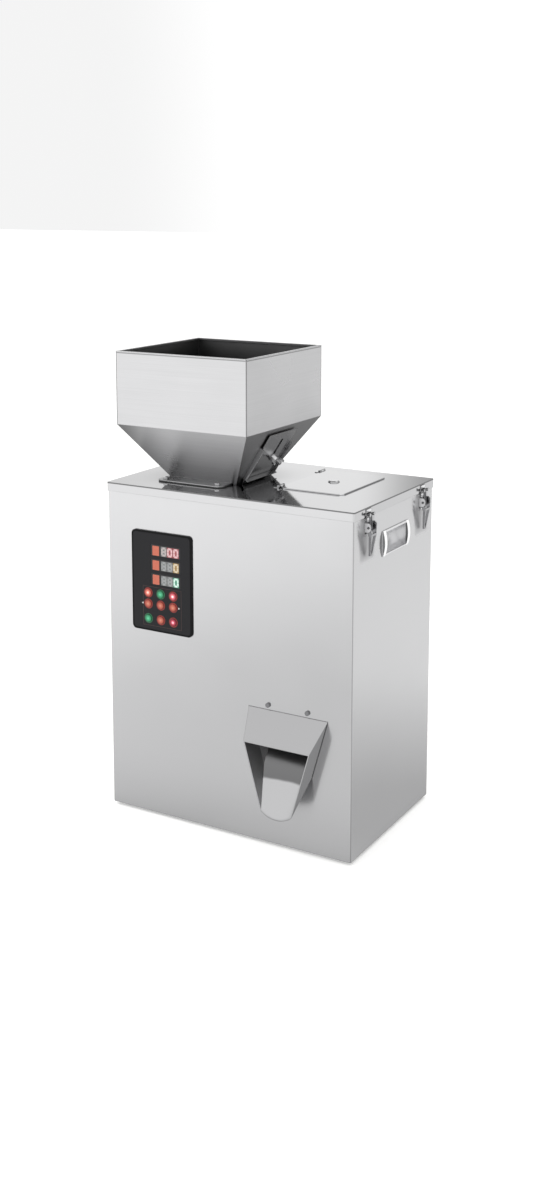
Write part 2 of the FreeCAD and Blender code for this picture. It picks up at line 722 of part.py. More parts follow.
def make_lid():
    over = LID_SHEET + LID_GAP
    outer = box(LEFT_X - over, RIGHT_X + over, FRONT_Y - over, REAR_Y + over, LID_TOP - LID_SKIRT, LID_TOP)
    outer = round_edges(outer, LID_CORNER, vec(0, 0, 1))
    hollow = box(LEFT_X - LID_GAP, RIGHT_X + LID_GAP, FRONT_Y - LID_GAP, REAR_Y + LID_GAP,
                 LID_TOP - LID_SKIRT - EXTRA, SHELL_TOP)
    hollow = round_edges(hollow, LID_CORNER - over / 2, vec(0, 0, 1))
    half_x = funnel_half(LID_TOP, HOPPER_SIZE_X, OUTLET_SIZE_X)
    half_y = funnel_half(LID_TOP, HOPPER_SIZE_Y, OUTLET_SIZE_Y)
    gate_room = (GATE_FLOAT + GATE_SHEET) / math.cos(SLOPE_ANGLE) + FIT_GAP * 2
    throat = box(HOPPER_X - half_x - FIT_GAP, HOPPER_X + half_x + gate_room,
                 HOPPER_Y - half_y - FIT_GAP, HOPPER_Y + half_y + FIT_GAP, SHELL_TOP - EXTRA, LID_TOP + EXTRA)
    margin = ACCESS_MARGIN
    access = box(COVER_X + margin, COVER_X + COVER_SIZE_X - margin,
                 COVER_Y + margin, COVER_Y + COVER_SIZE_Y - margin, SHELL_TOP - EXTRA, LID_TOP + EXTRA)
    access = round_edges(access, ACCESS_CORNER, vec(0, 0, 1))
    return cut(outer, [hollow, throat, access] + bolt_holes(SHELL_TOP - EXTRA, LID_TOP + EXTRA))


def hopper_volume(inset=0.0, extend=0.0):
    """Box and funnel as one solid, smaller by the inset on every side."""
    half_x = HOPPER_SIZE_X / 2 - inset
    half_y = HOPPER_SIZE_Y / 2 - inset
    slope_x = (HOPPER_SIZE_X - OUTLET_SIZE_X) / 2 / FUNNEL_HEIGHT
    slope_y = (HOPPER_SIZE_Y - OUTLET_SIZE_Y) / 2 / FUNNEL_HEIGHT
    low_x = OUTLET_SIZE_X / 2 - inset - extend * slope_x
    low_y = OUTLET_SIZE_Y / 2 - inset - extend * slope_y
    upper = box(HOPPER_X - half_x, HOPPER_X + half_x, HOPPER_Y - half_y, HOPPER_Y + half_y,
                FUNNEL_TOP, HOPPER_TOP + extend)
    wide = rectangle(HOPPER_X, HOPPER_Y, half_x, half_y, FUNNEL_TOP)
    narrow = rectangle(HOPPER_X, HOPPER_Y, low_x, low_y, OUTLET_Z - extend)
    return upper.fuse(frustum(narrow, wide))


def flange_outline(bottom, top, gap):
    """The two flange strips, in front of the funnel and behind it."""
    strips = []
    half = FLANGE_LENGTH / 2
    x = HOPPER_X + FLANGE_SHIFT
    edge = funnel_half(FLANGE_TOP, HOPPER_SIZE_Y, OUTLET_SIZE_Y)
    for side in (-1, 1):
        near = HOPPER_Y + side * (edge + gap)
        far = HOPPER_Y + side * (edge + FLANGE_REACH)
        strip = box(x - half, x + half, min(near, far), max(near, far), bottom, top)
        outside = []
        for upright in strip.Edges:
            middle = upright.BoundBox.Center
            if upright.BoundBox.ZLength > EXTRA and abs(middle.y - far) < SEAT_GAP:
                outside.append(upright)
        strips.append(strip.makeFillet(FLANGE_CORNER, outside))
    return strips


def make_hopper():
    half_x = HOPPER_SIZE_X / 2
    half_y = HOPPER_SIZE_Y / 2
    rim = HOPPER_RIM
    collar = box(HOPPER_X - half_x, HOPPER_X + half_x, HOPPER_Y - half_y, HOPPER_Y + half_y,
                 HOPPER_TOP - rim, HOPPER_TOP)
    mouth = box(HOPPER_X - half_x + rim, HOPPER_X + half_x - rim,
                HOPPER_Y - half_y + rim, HOPPER_Y + half_y - rim, HOPPER_TOP - rim - EXTRA, HOPPER_TOP + EXTRA)
    strips = flange_outline(FLANGE_TOP - HOPPER_SHEET, FLANGE_TOP, -HOPPER_SHEET)
    shell = hopper_volume().fuse(strips).cut(hopper_volume(HOPPER_SHEET, EXTRA))
    shell = shell.fuse(collar.cut(mouth))
    notch_half = OUTLET_SIZE_Y / 2 - 2 * HOPPER_SHEET
    notch = box(HOPPER_X + OUTLET_SIZE_X / 4, HOPPER_X + OUTLET_SIZE_X * 2, HOPPER_Y - notch_half,
                HOPPER_Y + notch_half, OUTLET_Z - EXTRA, OUTLET_Z + FEED_NOTCH_HEIGHT)
    return cut(shell, [notch] + bolt_holes(LID_TOP, FLANGE_TOP + EXTRA)).removeSplitter()


def make_gaskets():
    strips = flange_outline(LID_TOP, LID_TOP + GASKET, HOPPER_SHEET * 2)
    return cut(Part.makeCompound(strips), bolt_holes(LID_TOP - EXTRA, LID_TOP + GASKET + EXTRA))


def make_hopper_bolts():
    bolts = []
    for x, y in bolt_places():
        bolt = screw(vec(x, y, FLANGE_TOP), vec(0, 0, -1), BOLT_SHANK,
                     BOLT_RADIUS, BOLT_HEAD_RADIUS, BOLT_HEAD_HEIGHT)
        lower = nut(BOLT_HEAD_RADIUS, BOLT_HEAD_HEIGHT, vec(x, y, SHELL_TOP), vec(0, 1, 0), vec(1, 0, 0))
        bolts.append(bolt.fuse(lower))
    return Part.makeCompound(bolts)


def place_on_slope(shape):
    """Local x runs down the slope from the box's edge, y is across from the hopper's middle, z leaves it."""
    down = vec(-math.sin(SLOPE_ANGLE), 0, -math.cos(SLOPE_ANGLE))
    out = vec(math.cos(SLOPE_ANGLE), 0, -math.sin(SLOPE_ANGLE))
    origin = vec(HOPPER_X + HOPPER_SIZE_X / 2, HOPPER_Y, FUNNEL_TOP)
    matrix = FreeCAD.Matrix(down.x, 0, out.x, origin.x, down.y, 1, out.y, origin.y,
                            down.z, 0, out.z, origin.z, 0, 0, 0, 1)
    placed = shape.copy()
    placed.Placement = FreeCAD.Placement(matrix)
    return placed


def make_gate_guide():
    half = GATE_WIDTH / 2 + SEAT_GAP + GUIDE_RAIL
    solids = [box(GUIDE_TOP, GUIDE_BOTTOM, -half, half, 0, GUIDE_SHEET)]
    for side in (-half, half - GUIDE_RAIL):
        solids.append(box(GUIDE_TOP, GUIDE_BOTTOM, side, side + GUIDE_RAIL, 0, GUIDE_RAIL_HEIGHT))
    solids.append(box(GUIDE_BOTTOM - SHEET, GUIDE_BOTTOM, -half, half, NUT_SEAT, GUIDE_BRIDGE_HEIGHT))
    solids.append(rod(STUD_RADIUS, vec(STUD_DOWN, STUD_OFFSET, 0), vec(STUD_DOWN, STUD_OFFSET, STUD_LENGTH)))
    return place_on_slope(union(solids))


def make_gate_plate():
    wide = GATE_WIDTH / 2
    tongue = GATE_TONGUE_WIDTH / 2
    low = GATE_FLOAT
    taper = GATE_SHOULDER + (wide - tongue) / 2
    points = [vec(GATE_TOP, -wide, low), vec(GATE_SHOULDER, -wide, low), vec(taper, -tongue, low)]
    points += [vec(GATE_TIP, -tongue, low), vec(GATE_TIP, tongue, low), vec(taper, tongue, low)]
    points += [vec(GATE_SHOULDER, wide, low), vec(GATE_TOP, wide, low)]
    plate = prism(points, vec(0, 0, GATE_SHEET))
    half = GATE_SLOT_WIDTH / 2
    end = STUD_DOWN + 2 * half
    slot = box(GATE_SLOT_TOP, end, STUD_OFFSET - half, STUD_OFFSET + half, 0, low + 2 * GATE_SHEET)
    return place_on_slope(plate.cut(round_edges(slot, half - HOLE_GAP, vec(0, 0, 1))))


def make_wing_nut():
    x = STUD_DOWN
    y = STUD_OFFSET
    base = NUT_SEAT + WASHER_SHEET
    solids = [Part.makeCylinder(WASHER_RADIUS, WASHER_SHEET, vec(x, y, NUT_SEAT))]
    solids.append(Part.makeCone(NUT_HUB_RADIUS, NUT_HUB_TOP_RADIUS, NUT_HUB_HEIGHT, vec(x, y, base)))
    reach = NUT_SPAN / 2
    half = NUT_WING_SHEET / 2
    for side in (-1, 1):
        points = [(NUT_WING_ROOT, half), (NUT_WING_WAIST, NUT_WING_SHEET)]
        points += [(reach, NUT_WING_RISE - NUT_WING_TIP), (reach, NUT_WING_RISE - half)]
        points += [(reach - half, NUT_WING_RISE), (reach - NUT_WING_SHEET, NUT_WING_RISE)]
        points.append((NUT_WING_ROOT, NUT_HUB_HEIGHT))
        outline = [vec(x - half, y + side * a, base + b) for a, b in points]
        solids.append(prism(outline, vec(NUT_WING_SHEET, 0, 0)))
    bore = rod(STUD_RADIUS + PIN_GAP, vec(x, y, 0), vec(x, y, 2 * STUD_LENGTH))
    return place_on_slope(union(solids).cut(bore))


def hinge_spans():
    """Start of each of the two hinges along y."""
    return (COVER_Y + HINGE_INSET, COVER_Y + COVER_SIZE_Y - HINGE_INSET - HINGE_LENGTH)


def hinge_rod(radius, y0, y1):
    return rod(radius, vec(HINGE_X, y0, HINGE_Z), vec(HINGE_X, y1, HINGE_Z))


def make_cover():
    low = LID_TOP + SEAT_GAP
    plate = box(COVER_X, COVER_X + COVER_SIZE_X, COVER_Y, COVER_Y + COVER_SIZE_Y, low, COVER_TOP)
    solids = [round_edges(plate, COVER_CORNER, vec(0, 0, 1))]
    tools = []
    third = HINGE_LENGTH / 3
    for start in hinge_spans():
        solids.append(hinge_rod(HINGE_RADIUS, start + third, start + 2 * third))
        solids.append(box(HINGE_X, COVER_X + COVER_CORNER, start + third, start + 2 * third, low, COVER_TOP))
        tools.append(hinge_rod(HINGE_PIN_RADIUS + PIN_GAP, start, start + HINGE_LENGTH))
    return cut(union(solids), tools)


def make_hinge():
    third = HINGE_LENGTH / 3
    solids = []
    for start in hinge_spans():
        pieces = [hinge_rod(HINGE_PIN_RADIUS, start, start + HINGE_LENGTH)]
        for y0, y1 in ((start, start + third - SEAT_GAP), (start + 2 * third + SEAT_GAP, start + HINGE_LENGTH)):
            pieces.append(hinge_rod(HINGE_RADIUS, y0, y1))
            pieces.append(box(HINGE_X - HINGE_RADIUS, HINGE_X, y0, y1, LID_TOP, HINGE_Z))
        leaf_end = HINGE_X - HINGE_RADIUS - FIT_GAP
        pieces.append(box(HINGE_X - HINGE_LEAF, leaf_end, start, start + HINGE_LENGTH,
                          LID_TOP, LID_TOP + HINGE_LEAF_SHEET))
        for y0, y1 in ((start, start + third - SEAT_GAP), (start + 2 * third + SEAT_GAP, start + HINGE_LENGTH)):
            pieces.append(box(leaf_end, HINGE_X, y0, y1, LID_TOP, LID_TOP + HINGE_LEAF_SHEET))
        solids.append(union(pieces))
    return Part.makeCompound(solids)


def make_knob():
    middle = vec(COVER_X + COVER_SIZE_X / 2, COVER_Y + COVER_SIZE_Y / 2, COVER_TOP)
    button = Part.makeCylinder(KNOB_RADIUS, KNOB_HEIGHT, middle)
    bevel = Part.makeCone(KNOB_RADIUS, KNOB_TOP_RADIUS, KNOB_BEVEL, middle + vec(0, 0, KNOB_HEIGHT))
    return button.fuse(bevel)


def panel_x(offset):
    return LEFT_X + PANEL_LEFT + offset


def panel_z(offset):
    return BOTTOM_Z + PANEL_BOTTOM + offset


def key_places():
    rows = (KEY_ROW_HIGH, KEY_ROW_MIDDLE, KEY_ROW_LOW)
    return [(panel_x(KEY_LEFT + column * KEY_PITCH), panel_z(row))
            for row in rows for column in range(KEY_COLUMNS)]


def display_box(row, gap, y0, y1):
    """Box of one display, wider by the gap all round."""
    top = panel_z(PANEL_HEIGHT - DISPLAY_DROP - row * DISPLAY_PITCH)
    return box(panel_x(DISPLAY_LEFT) - gap, panel_x(DISPLAY_LEFT + DISPLAY_WIDTH) + gap, y0, y1,
               top - DISPLAY_HEIGHT - gap, top + gap)


def make_keypad_panel():
    y0 = FRONT_Y - PANEL_SHEET
    plate = box(panel_x(0), panel_x(PANEL_WIDTH), y0, FRONT_Y, panel_z(0), panel_z(PANEL_HEIGHT))
    plate = round_edges(plate, PANEL_CORNER, vec(0, 1, 0))
    tools = [display_box(row, SEAT_GAP, y0 - EXTRA, FRONT_Y + EXTRA) for row in range(DISPLAY_ROWS)]
    for x, z in key_places():
        tools.append(rod(KEY_RADIUS + SEAT_GAP, vec(x, y0 - EXTRA, z), vec(x, FRONT_Y + EXTRA, z)))
    return cut(plate, tools)


def make_display(row):
    return display_box(row, 0, FRONT_Y - PANEL_SHEET + SEAT_GAP, FRONT_Y + BOARD_DEPTH)


def make_key(x, z):
    cap = rod(KEY_RADIUS, vec(x, FRONT_Y - PANEL_SHEET - KEY_PROUD, z), vec(x, FRONT_Y, z))
    half = KEY_STEM / 2
    stem = box(x - half, x + half, FRONT_Y, FRONT_Y + BOARD_DEPTH / 2, z - half, z + half)
    return cap.fuse(stem)


def make_board():
    lap = PANEL_LAP + FIT_GAP
    front = FRONT_Y + BOARD_DEPTH
    solids = [box(panel_x(lap), panel_x(PANEL_WIDTH - lap), front, front + BOARD_SHEET,
                  panel_z(lap), panel_z(PANEL_HEIGHT - lap))]
    inset = lap + STANDOFF_RADIUS + FIT_GAP
    for x in (panel_x(inset), panel_x(PANEL_WIDTH - inset)):
        for z in (panel_z(inset), panel_z(PANEL_HEIGHT - inset)):
            solids.append(rod(STANDOFF_RADIUS, vec(x, FRONT_Y, z), vec(x, front, z)))
    switch_top = FRONT_Y + BOARD_DEPTH / 2 + KEY_TRAVEL + SEAT_GAP
    half = SWITCH_SIZE / 2
    for x, z in key_places():
        solids.append(box(x - half, x + half, switch_top, front, z - half, z + half))
    return union(solids)


def make_latch_base():
    """Base of one latch in the wall's own frame: x leaves the wall, y is across, z is up."""
    half = LATCH_PLATE_HEIGHT / 2
    solids = [box(0, LATCH_EAR, -LATCH_HALF, LATCH_HALF, PIVOT_Z - half, PIVOT_Z + half)]
    tall = LATCH_EAR_HALF
    step = LATCH_EAR_CHAMFER
    rim = LATCH_EAR_OUT
    for y in (-LATCH_HALF, LATCH_HALF - LATCH_EAR):
        outline = [(0, -tall), (rim - step, -tall), (rim, step - tall)]
        outline += [(rim, tall - step), (rim - step, tall), (0, tall)]
        solids.append(prism([vec(x, y, PIVOT_Z + z) for x, z in outline], vec(0, LATCH_EAR, 0)))
    reach = 2 * LATCH_HALF
    return union(solids).cut(latch_rod(LATCH_PIN_RADIUS, LATCH_PIVOT_OUT, PIVOT_Z, -reach, reach))


def latch_rod(radius, out, z, y0, y1):
    return rod(radius, vec(out, y0, z), vec(out, y1, z))


def make_latch_pins():
    inner = LATCH_CHEEK_INSIDE + HOLE_GAP
    outer = LATCH_HALF + LATCH_PIN_PROUD
    return Part.makeCompound([latch_rod(LATCH_PIN_RADIUS, LATCH_PIVOT_OUT, PIVOT_Z, inner, outer),
                              latch_rod(LATCH_PIN_RADIUS, LATCH_PIVOT_OUT, PIVOT_Z, -outer, -inner)])


def make_latch_lever():
    """Lever of one latch: two cheeks on the pivot, a web, and a tail of two legs that meet at the tip."""
    face = LATCH_FACE_OUT
    inner = LATCH_CHEEK_INSIDE
    outer = CHEEK_OUTSIDE
    web_top = CRANK_Z - LATCH_WEB_DROP
    tail_top = web_top - LATCH_WEB_HEIGHT
    tip_z = PIVOT_Z - LATCH_TAIL
    back = CRANK_OUT - LATCH_CRANK_LAND
    tip_in = face - LATCH_TIP_IN
    tip_out = face - LATCH_TIP_OUT
    tip = LATCH_TIP_HALF
    solids = [box(face - LATCH_CHEEK, face, -outer, outer, tail_top, web_top)]
    solids.append(box(tip_in, tip_out, -tip, tip, tip_z, tip_z + LATCH_TIP_HEIGHT))
    for side in (-1, 1):
        y = side * inner
        points = [vec(LATCH_PIVOT_OUT - LATCH_BOSS_RADIUS, y, PIVOT_Z), vec(back, y, CRANK_Z)]
        points += [vec(back, y, CRANK_Z - LATCH_WIRE - LATCH_CHEEK), vec(face - LATCH_TAIL_DEPTH, y, tail_top)]
        points += [vec(face, y, tail_top), vec(face, y, PIVOT_Z)]
        solids.append(prism(points, vec(0, side * LATCH_CHEEK, 0)))
        low_y, high_y = sorted((y, side * outer))
        solids.append(latch_rod(LATCH_BOSS_RADIUS, LATCH_PIVOT_OUT, PIVOT_Z, low_y, high_y))
        wide = (side * (outer - LATCH_LEG_WIDTH), side * outer)
        slim = (side * (tip - LATCH_LEG_WIDTH), side * tip)
        low = [vec(tip_in, slim[0], tip_z), vec(tip_out, slim[0], tip_z), vec(tip_out, slim[1], tip_z),
               vec(tip_in, slim[1], tip_z)]
        depth = face - LATCH_TAIL_DEPTH
        high = [vec(depth, wide[0], tail_top), vec(face, wide[0], tail_top), vec(face, wide[1], tail_top),
                vec(depth, wide[1], tail_top)]
        solids.append(frustum(low, high))
    lever = union(solids)
    pivot = latch_rod(LATCH_PIN_RADIUS + PIN_GAP, LATCH_PIVOT_OUT, PIVOT_Z, -LATCH_HALF, LATCH_HALF)
    crank = latch_rod(LATCH_WIRE + PIN_GAP, CRANK_OUT, CRANK_Z, -LATCH_HALF, LATCH_HALF)
    return cut(lever, [pivot, crank])


def make_latch_bail():
    """Wire bail: a crossbar for the keeper's hooks, two legs and their ends in the lever's cheeks."""
    leg = LATCH_LEG_OFFSET
    solids = [latch_rod(LATCH_WIRE, LATCH_BAR_OUT, BAR_Z, -LATCH_BAR_HALF, LATCH_BAR_HALF)]
    for side in (-1, 1):
        top = vec(LATCH_BAR_OUT, side * leg, BAR_Z)
        solids.append(rod(LATCH_LEG_WIRE, top, vec(CRANK_OUT, side * leg, CRANK_Z)))
        y0, y1 = sorted((side * (leg - LATCH_WIRE), side * CHEEK_OUTSIDE))
        solids.append(latch_rod(LATCH_WIRE, CRANK_OUT, CRANK_Z, y0, y1))
    return union(solids)


def make_keeper():
    """Keeper on the lid's skirt: a plate with two hooks that hold the bail's crossbar."""
    skirt = LID_SHEET + LID_GAP
    floor = BAR_Z - LATCH_WIRE - SEAT_GAP
    lip = LATCH_BAR_OUT + LATCH_WIRE + KEEPER_CLEAR
    low = floor - KEEPER_SHEET
    solids = [box(skirt, skirt + KEEPER_SHEET, -KEEPER_HALF, KEEPER_HALF, low, LID_TOP - KEEPER_TOP_DROP)]
    for y in (-KEEPER_HALF, KEEPER_HALF - KEEPER_HOOK):
        solids.append(box(skirt, lip + KEEPER_SHEET, y, y + KEEPER_HOOK, low, floor))
        solids.append(box(lip, lip + KEEPER_SHEET, y, y + KEEPER_HOOK, floor, BAR_Z + KEEPER_LIP_RISE))
    return union(solids)


def latch_stations():
    names = {1: "right", -1: "left"}
    rows = {"front": LATCH_ROWS[0], "rear": LATCH_ROWS[1]}
    return [(names[side] + "_" + row, side, rows[row]) for side in (1, -1) for row in ("front", "rear")]


def place_latch(shape, side, row):
    """Moves a latch piece from its own frame to its station on a wall."""
    placed = shape.copy()
    placed.translate(vec(0, row, 0))
    return to_side(placed, side)


def each_latch(shape):
    return Part.makeCompound([place_latch(shape, side, row) for _, side, row in latch_stations()])


def slant(shape, x, z):
    """Leaf spring frame: local z climbs along the leaf, local x is the tray's direction of travel."""
    placed = shape.copy()
    turn = FreeCAD.Rotation(vec(0, 1, 0), -math.degrees(LEAF_LEAN))
    placed.Placement = FreeCAD.Placement(vec(x, HOPPER_Y, z), turn)
    return placed


def make_leaf_springs():
    leaf = box(0, LEAF_SHEET, -LEAF_HALF, LEAF_HALF, 0, LEAF_LENGTH)
    return Part.makeCompound([slant(leaf, x, LEAF_FOOT_Z) for x in LEAF_STATIONS])


def make_feeder_base():
    x0 = LEFT_X + FEEDER_BASE_LEFT
    solids = [box(x0, x0 + FEEDER_BASE_LENGTH, HOPPER_Y - FEEDER_BASE_HALF, HOPPER_Y + FEEDER_BASE_HALF,
                  TABLE_TOP, LEAF_FOOT_Z)]
    lug = box(-LUG_THICKNESS, 0, -LEAF_HALF, LEAF_HALF, -LUG_ROOT, LUG_LENGTH)
    return union(solids + [slant(lug, x, LEAF_FOOT_Z) for x in LEAF_STATIONS])


def make_feed_tray():
    half = TRAY_INNER_WIDTH / 2
    x0 = LEFT_X + TRAY_BACK
    outer = box(x0, TRAY_END_X, HOPPER_Y - half - TRAY_SHEET, HOPPER_Y + half + TRAY_SHEET,
                TRAY_FLOOR - TRAY_SHEET, TRAY_FLOOR + TRAY_WALL)
    inner = box(x0 + TRAY_SHEET, TRAY_END_X + EXTRA, HOPPER_Y - half, HOPPER_Y + half,
                TRAY_FLOOR, TRAY_FLOOR + TRAY_WALL + EXTRA)
    rib_left = LEAF_STATIONS[0] - 2 * LUG_THICKNESS
    rib_right = LEAF_STATIONS[1] + LUG_THICKNESS
    solids = [outer.cut(inner)]
    solids.append(box(rib_left, rib_right, HOPPER_Y - TRAY_RIB_HALF, HOPPER_Y + TRAY_RIB_HALF,
                      RIB_BOTTOM, TRAY_FLOOR - TRAY_SHEET / 2))
    clear = LEAF_SHEET + LEAF_GAP
    lug = box(clear, clear + LUG_THICKNESS, -TRAY_RIB_HALF, TRAY_RIB_HALF, LEAF_LENGTH - LUG_LENGTH,
              LEAF_LENGTH + LUG_OVER)
    solids += [slant(lug, x, LEAF_FOOT_Z) for x in LEAF_STATIONS]
    solids.append(box(COIL_X - COIL_LENGTH / 2, COIL_X + COIL_LENGTH / 2,
                      HOPPER_Y - CORE_HALF, HOPPER_Y + CORE_HALF, ARMATURE_Z, RIB_BOTTOM + EXTRA))
    return union(solids)


def make_coil():
    half = COIL_LENGTH / 2
    winding = box(COIL_X - half, COIL_X + half, HOPPER_Y - COIL_HALF, HOPPER_Y + COIL_HALF,
                  LEAF_FOOT_Z + CORE_PROUD, LEAF_FOOT_Z + COIL_HEIGHT)
    winding = round_edges(winding, COIL_CORNER, vec(0, 0, 1))
    core = box(COIL_X - half + CORE_INSET, COIL_X + half - CORE_INSET,
               HOPPER_Y - CORE_HALF, HOPPER_Y + CORE_HALF, LEAF_FOOT_Z, LEAF_FOOT_Z + COIL_HEIGHT + CORE_PROUD)
    return winding.fuse(core)


def make_table():
    """Folded table that carries the feeder over the power supply."""
    x0 = LEFT_X + TABLE_LEFT
    x1 = x0 + TABLE_LENGTH
    y0 = HOPPER_Y - TABLE_HALF
    y1 = HOPPER_Y + TABLE_HALF
    sheet = TABLE_SHEET
    solids = [box(x0, x1, y0, y1, TABLE_TOP - sheet, TABLE_TOP)]
    for wall, foot in ((x0, x0 - TABLE_FOOT), (x1 - sheet, x1 - sheet)):
        leg = box(wall, wall + sheet, y0, y1, FLOOR_Z, TABLE_TOP)
        window = box(wall - sheet, wall + 2 * sheet, y0 + TABLE_FOOT, y1 - TABLE_FOOT,
                     FLOOR_Z + TABLE_WINDOW_MARGIN, TABLE_TOP - TABLE_WINDOW_MARGIN)
        solids.append(leg.cut(round_edges(window, TABLE_FOOT / 2, vec(1, 0, 0))))
        solids.append(box(foot, foot + TABLE_FOOT + sheet, y0, y1, FLOOR_Z, FLOOR_Z + sheet))
    return union(solids)


def make_column():
    """Square tube with a foot plate that carries the load cell."""
    x0 = RIGHT_X - COLUMN_RIGHT_INSET
    y0 = FRONT_Y + COLUMN_FRONT
    x1 = x0 + COLUMN_SIZE
    y1 = y0 + COLUMN_SIZE
    top = BOTTOM_Z + CELL_BOTTOM
    wall = COLUMN_WALL
    tube = box(x0, x1, y0, y1, FLOOR_Z, top)
    bore = box(x0 + wall, x1 - wall, y0 + wall, y1 - wall, FLOOR_Z + wall, top - wall)
    plate = box(x0 - TABLE_FOOT / 2, x1 + TABLE_FOOT / 2, y0, y1 + TABLE_FOOT, FLOOR_Z, FLOOR_Z + wall)
    return union([tube, plate]).cut(bore)


def make_load_cell():
    z0 = BOTTOM_Z + CELL_BOTTOM
    middle = CELL_X + CELL_LENGTH / 2
    beam = box(CELL_X, CELL_X + CELL_LENGTH, CELL_FRONT, CELL_FRONT + CELL_SECTION, z0, z0 + CELL_SECTION)
    holes = []
    for x in (middle - CELL_HOLE_SPACING / 2, middle + CELL_HOLE_SPACING / 2):
        holes.append(rod(CELL_HOLE_RADIUS, vec(x, CELL_FRONT - EXTRA, z0 + CELL_SECTION / 2),
                         vec(x, CELL_FRONT + CELL_SECTION + EXTRA, z0 + CELL_SECTION / 2)))
    return cut(beam, holes)


def bucket_volume(inset=0.0, extend=0.0):
    half = BUCKET_SIZE / 2 - inset
    mouth = BUCKET_MOUTH / 2 - inset
    knee = BOTTOM_Z + BUCKET_KNEE
    upper = box(BUCKET_X - half, BUCKET_X + half, BUCKET_Y - half, BUCKET_Y + half, knee,
                BOTTOM_Z + BUCKET_TOP + extend)
    lower = frustum(rectangle(BUCKET_X, BUCKET_Y, mouth, mouth, BOTTOM_Z + BUCKET_BOTTOM),
                    rectangle(BUCKET_X, BUCKET_Y, half, half, knee))
    outlet = box(BUCKET_X - mouth, BUCKET_X + mouth, BUCKET_Y - mouth, BUCKET_Y + mouth,
                 BOTTOM_Z + BUCKET_BOTTOM - extend - SEAT_GAP, BOTTOM_Z + BUCKET_BOTTOM)
    if extend:
        return union([upper, lower, outlet])
    return union([upper, lower])


def make_bucket():
    top = BOTTOM_Z + CELL_BOTTOM + CELL_SECTION
    back = BUCKET_Y + BUCKET_SIZE / 2
    solids = [bucket_volume()]
    solids.append(box(CELL_X, CELL_X + HANGER_WIDTH, back - BUCKET_SHEET, CELL_FRONT + CELL_SECTION,
                      top, top + HANGER_SHEET))
    half = BUCKET_MOUTH / 2
    for side in (-1, 1):
        near = BUCKET_X + side * (half + BUCKET_EAR_GAP)
        x0, x1 = sorted((near, near + side * BUCKET_EAR_SHEET))
        solids.append(box(x0, x1, BUCKET_Y, FLAP_PIN_Y + FLAP_TUBE_RADIUS, FLAP_PIN_Z - FLAP_TUBE_RADIUS,
                          BOTTOM_Z + BUCKET_BOTTOM + BUCKET_EAR_HEIGHT))
    reach = half + BUCKET_EAR_GAP + BUCKET_EAR_SHEET
    pin = flap_rod(FLAP_PIN_RADIUS, reach)
    return union(solids).cut(bucket_volume(BUCKET_SHEET, EXTRA)).fuse(pin).removeSplitter()


def flap_rod(radius, reach):
    """Rod on the flap's axis, as far to either side of the bucket's middle."""
    middle = vec(BUCKET_X, FLAP_PIN_Y, FLAP_PIN_Z)
    return rod(radius, middle - vec(reach, 0, 0), middle + vec(reach, 0, 0))


def make_flap():
    half = BUCKET_MOUTH / 2 + FLAP_LAP
    low = FLAP_TOP - FLAP_SHEET
    plate = box(BUCKET_X - half, BUCKET_X + half, BUCKET_Y - half, FLAP_PIN_Y, low, FLAP_TOP)
    tube = flap_rod(FLAP_TUBE_RADIUS, half)
    lever = box(BUCKET_X - FLAP_LEVER_HALF, BUCKET_X + FLAP_LEVER_HALF, FLAP_PIN_Y, PLUNGER_Y + FLAP_LEVER_LAP,
                low, FLAP_TOP)
    bore = flap_rod(FLAP_PIN_RADIUS + PIN_GAP, half + EXTRA)
    return union([plate, tube, lever]).cut(bore)


def plunger_rod(radius, z0, z1):
    return rod(radius, vec(BUCKET_X, PLUNGER_Y, z0), vec(BUCKET_X, PLUNGER_Y, z1))


def make_solenoid():
    half = SOLENOID_SIZE / 2
    z0 = BOTTOM_Z + SOLENOID_BOTTOM
    z1 = z0 + SOLENOID_HEIGHT
    body = box(BUCKET_X - half, BUCKET_X + half, PLUNGER_Y - half, PLUNGER_Y + half, z0, z1)
    return body.cut(plunger_rod(PLUNGER_RADIUS + SEAT_GAP, z0 - EXTRA, z1 + EXTRA))


def make_plunger():
    z0 = FLAP_TOP + PLUNGER_GAP
    return plunger_rod(PLUNGER_RADIUS, z0, z0 + PLUNGER_LENGTH)


def drop_volume(inset, extend):
    """Inside or outside of the discharge funnel, a lopsided frustum."""
    half = DROP_TOP_SIZE / 2 - inset
    out_x = DROP_OUTLET_X / 2 - inset
    out_y = DROP_OUTLET_Y / 2 - inset
    middle = FRONT_Y + DROP_OUTLET_BACK + DROP_OUTLET_Y / 2
    top = BOTTOM_Z + DROP_TOP
    bottom = BOTTOM_Z + DROP_BOTTOM
    outlet = rectangle(BUCKET_X, middle, out_x, out_y, bottom)
    solid = frustum(outlet, rectangle(BUCKET_X, BUCKET_Y, half, half, top))
    if extend:
        above = box(BUCKET_X - half, BUCKET_X + half, BUCKET_Y - half, BUCKET_Y + half, top, top + extend)
        below = box(BUCKET_X - out_x, BUCKET_X + out_x, middle - out_y, middle + out_y, bottom - extend, bottom)
        return union([solid, above, below])
    return solid


def make_drop_funnel():
    high = BOTTOM_Z + DROP_TOP - STRAP_DROP
    wall = FRONT_Y + SHEET
    strap = box(BUCKET_X - STRAP_HALF, BUCKET_X + STRAP_HALF, wall, BUCKET_Y - DROP_TOP_SIZE / 2 + STRAP_LAP,
                high - STRAP_SHEET, high)
    foot = box(BUCKET_X - STRAP_HALF, BUCKET_X + STRAP_HALF, wall, wall + STRAP_SHEET, high - STRAP_FOOT, high)
    return union([drop_volume(0, 0), strap, foot]).cut(drop_volume(DROP_SHEET, EXTRA))


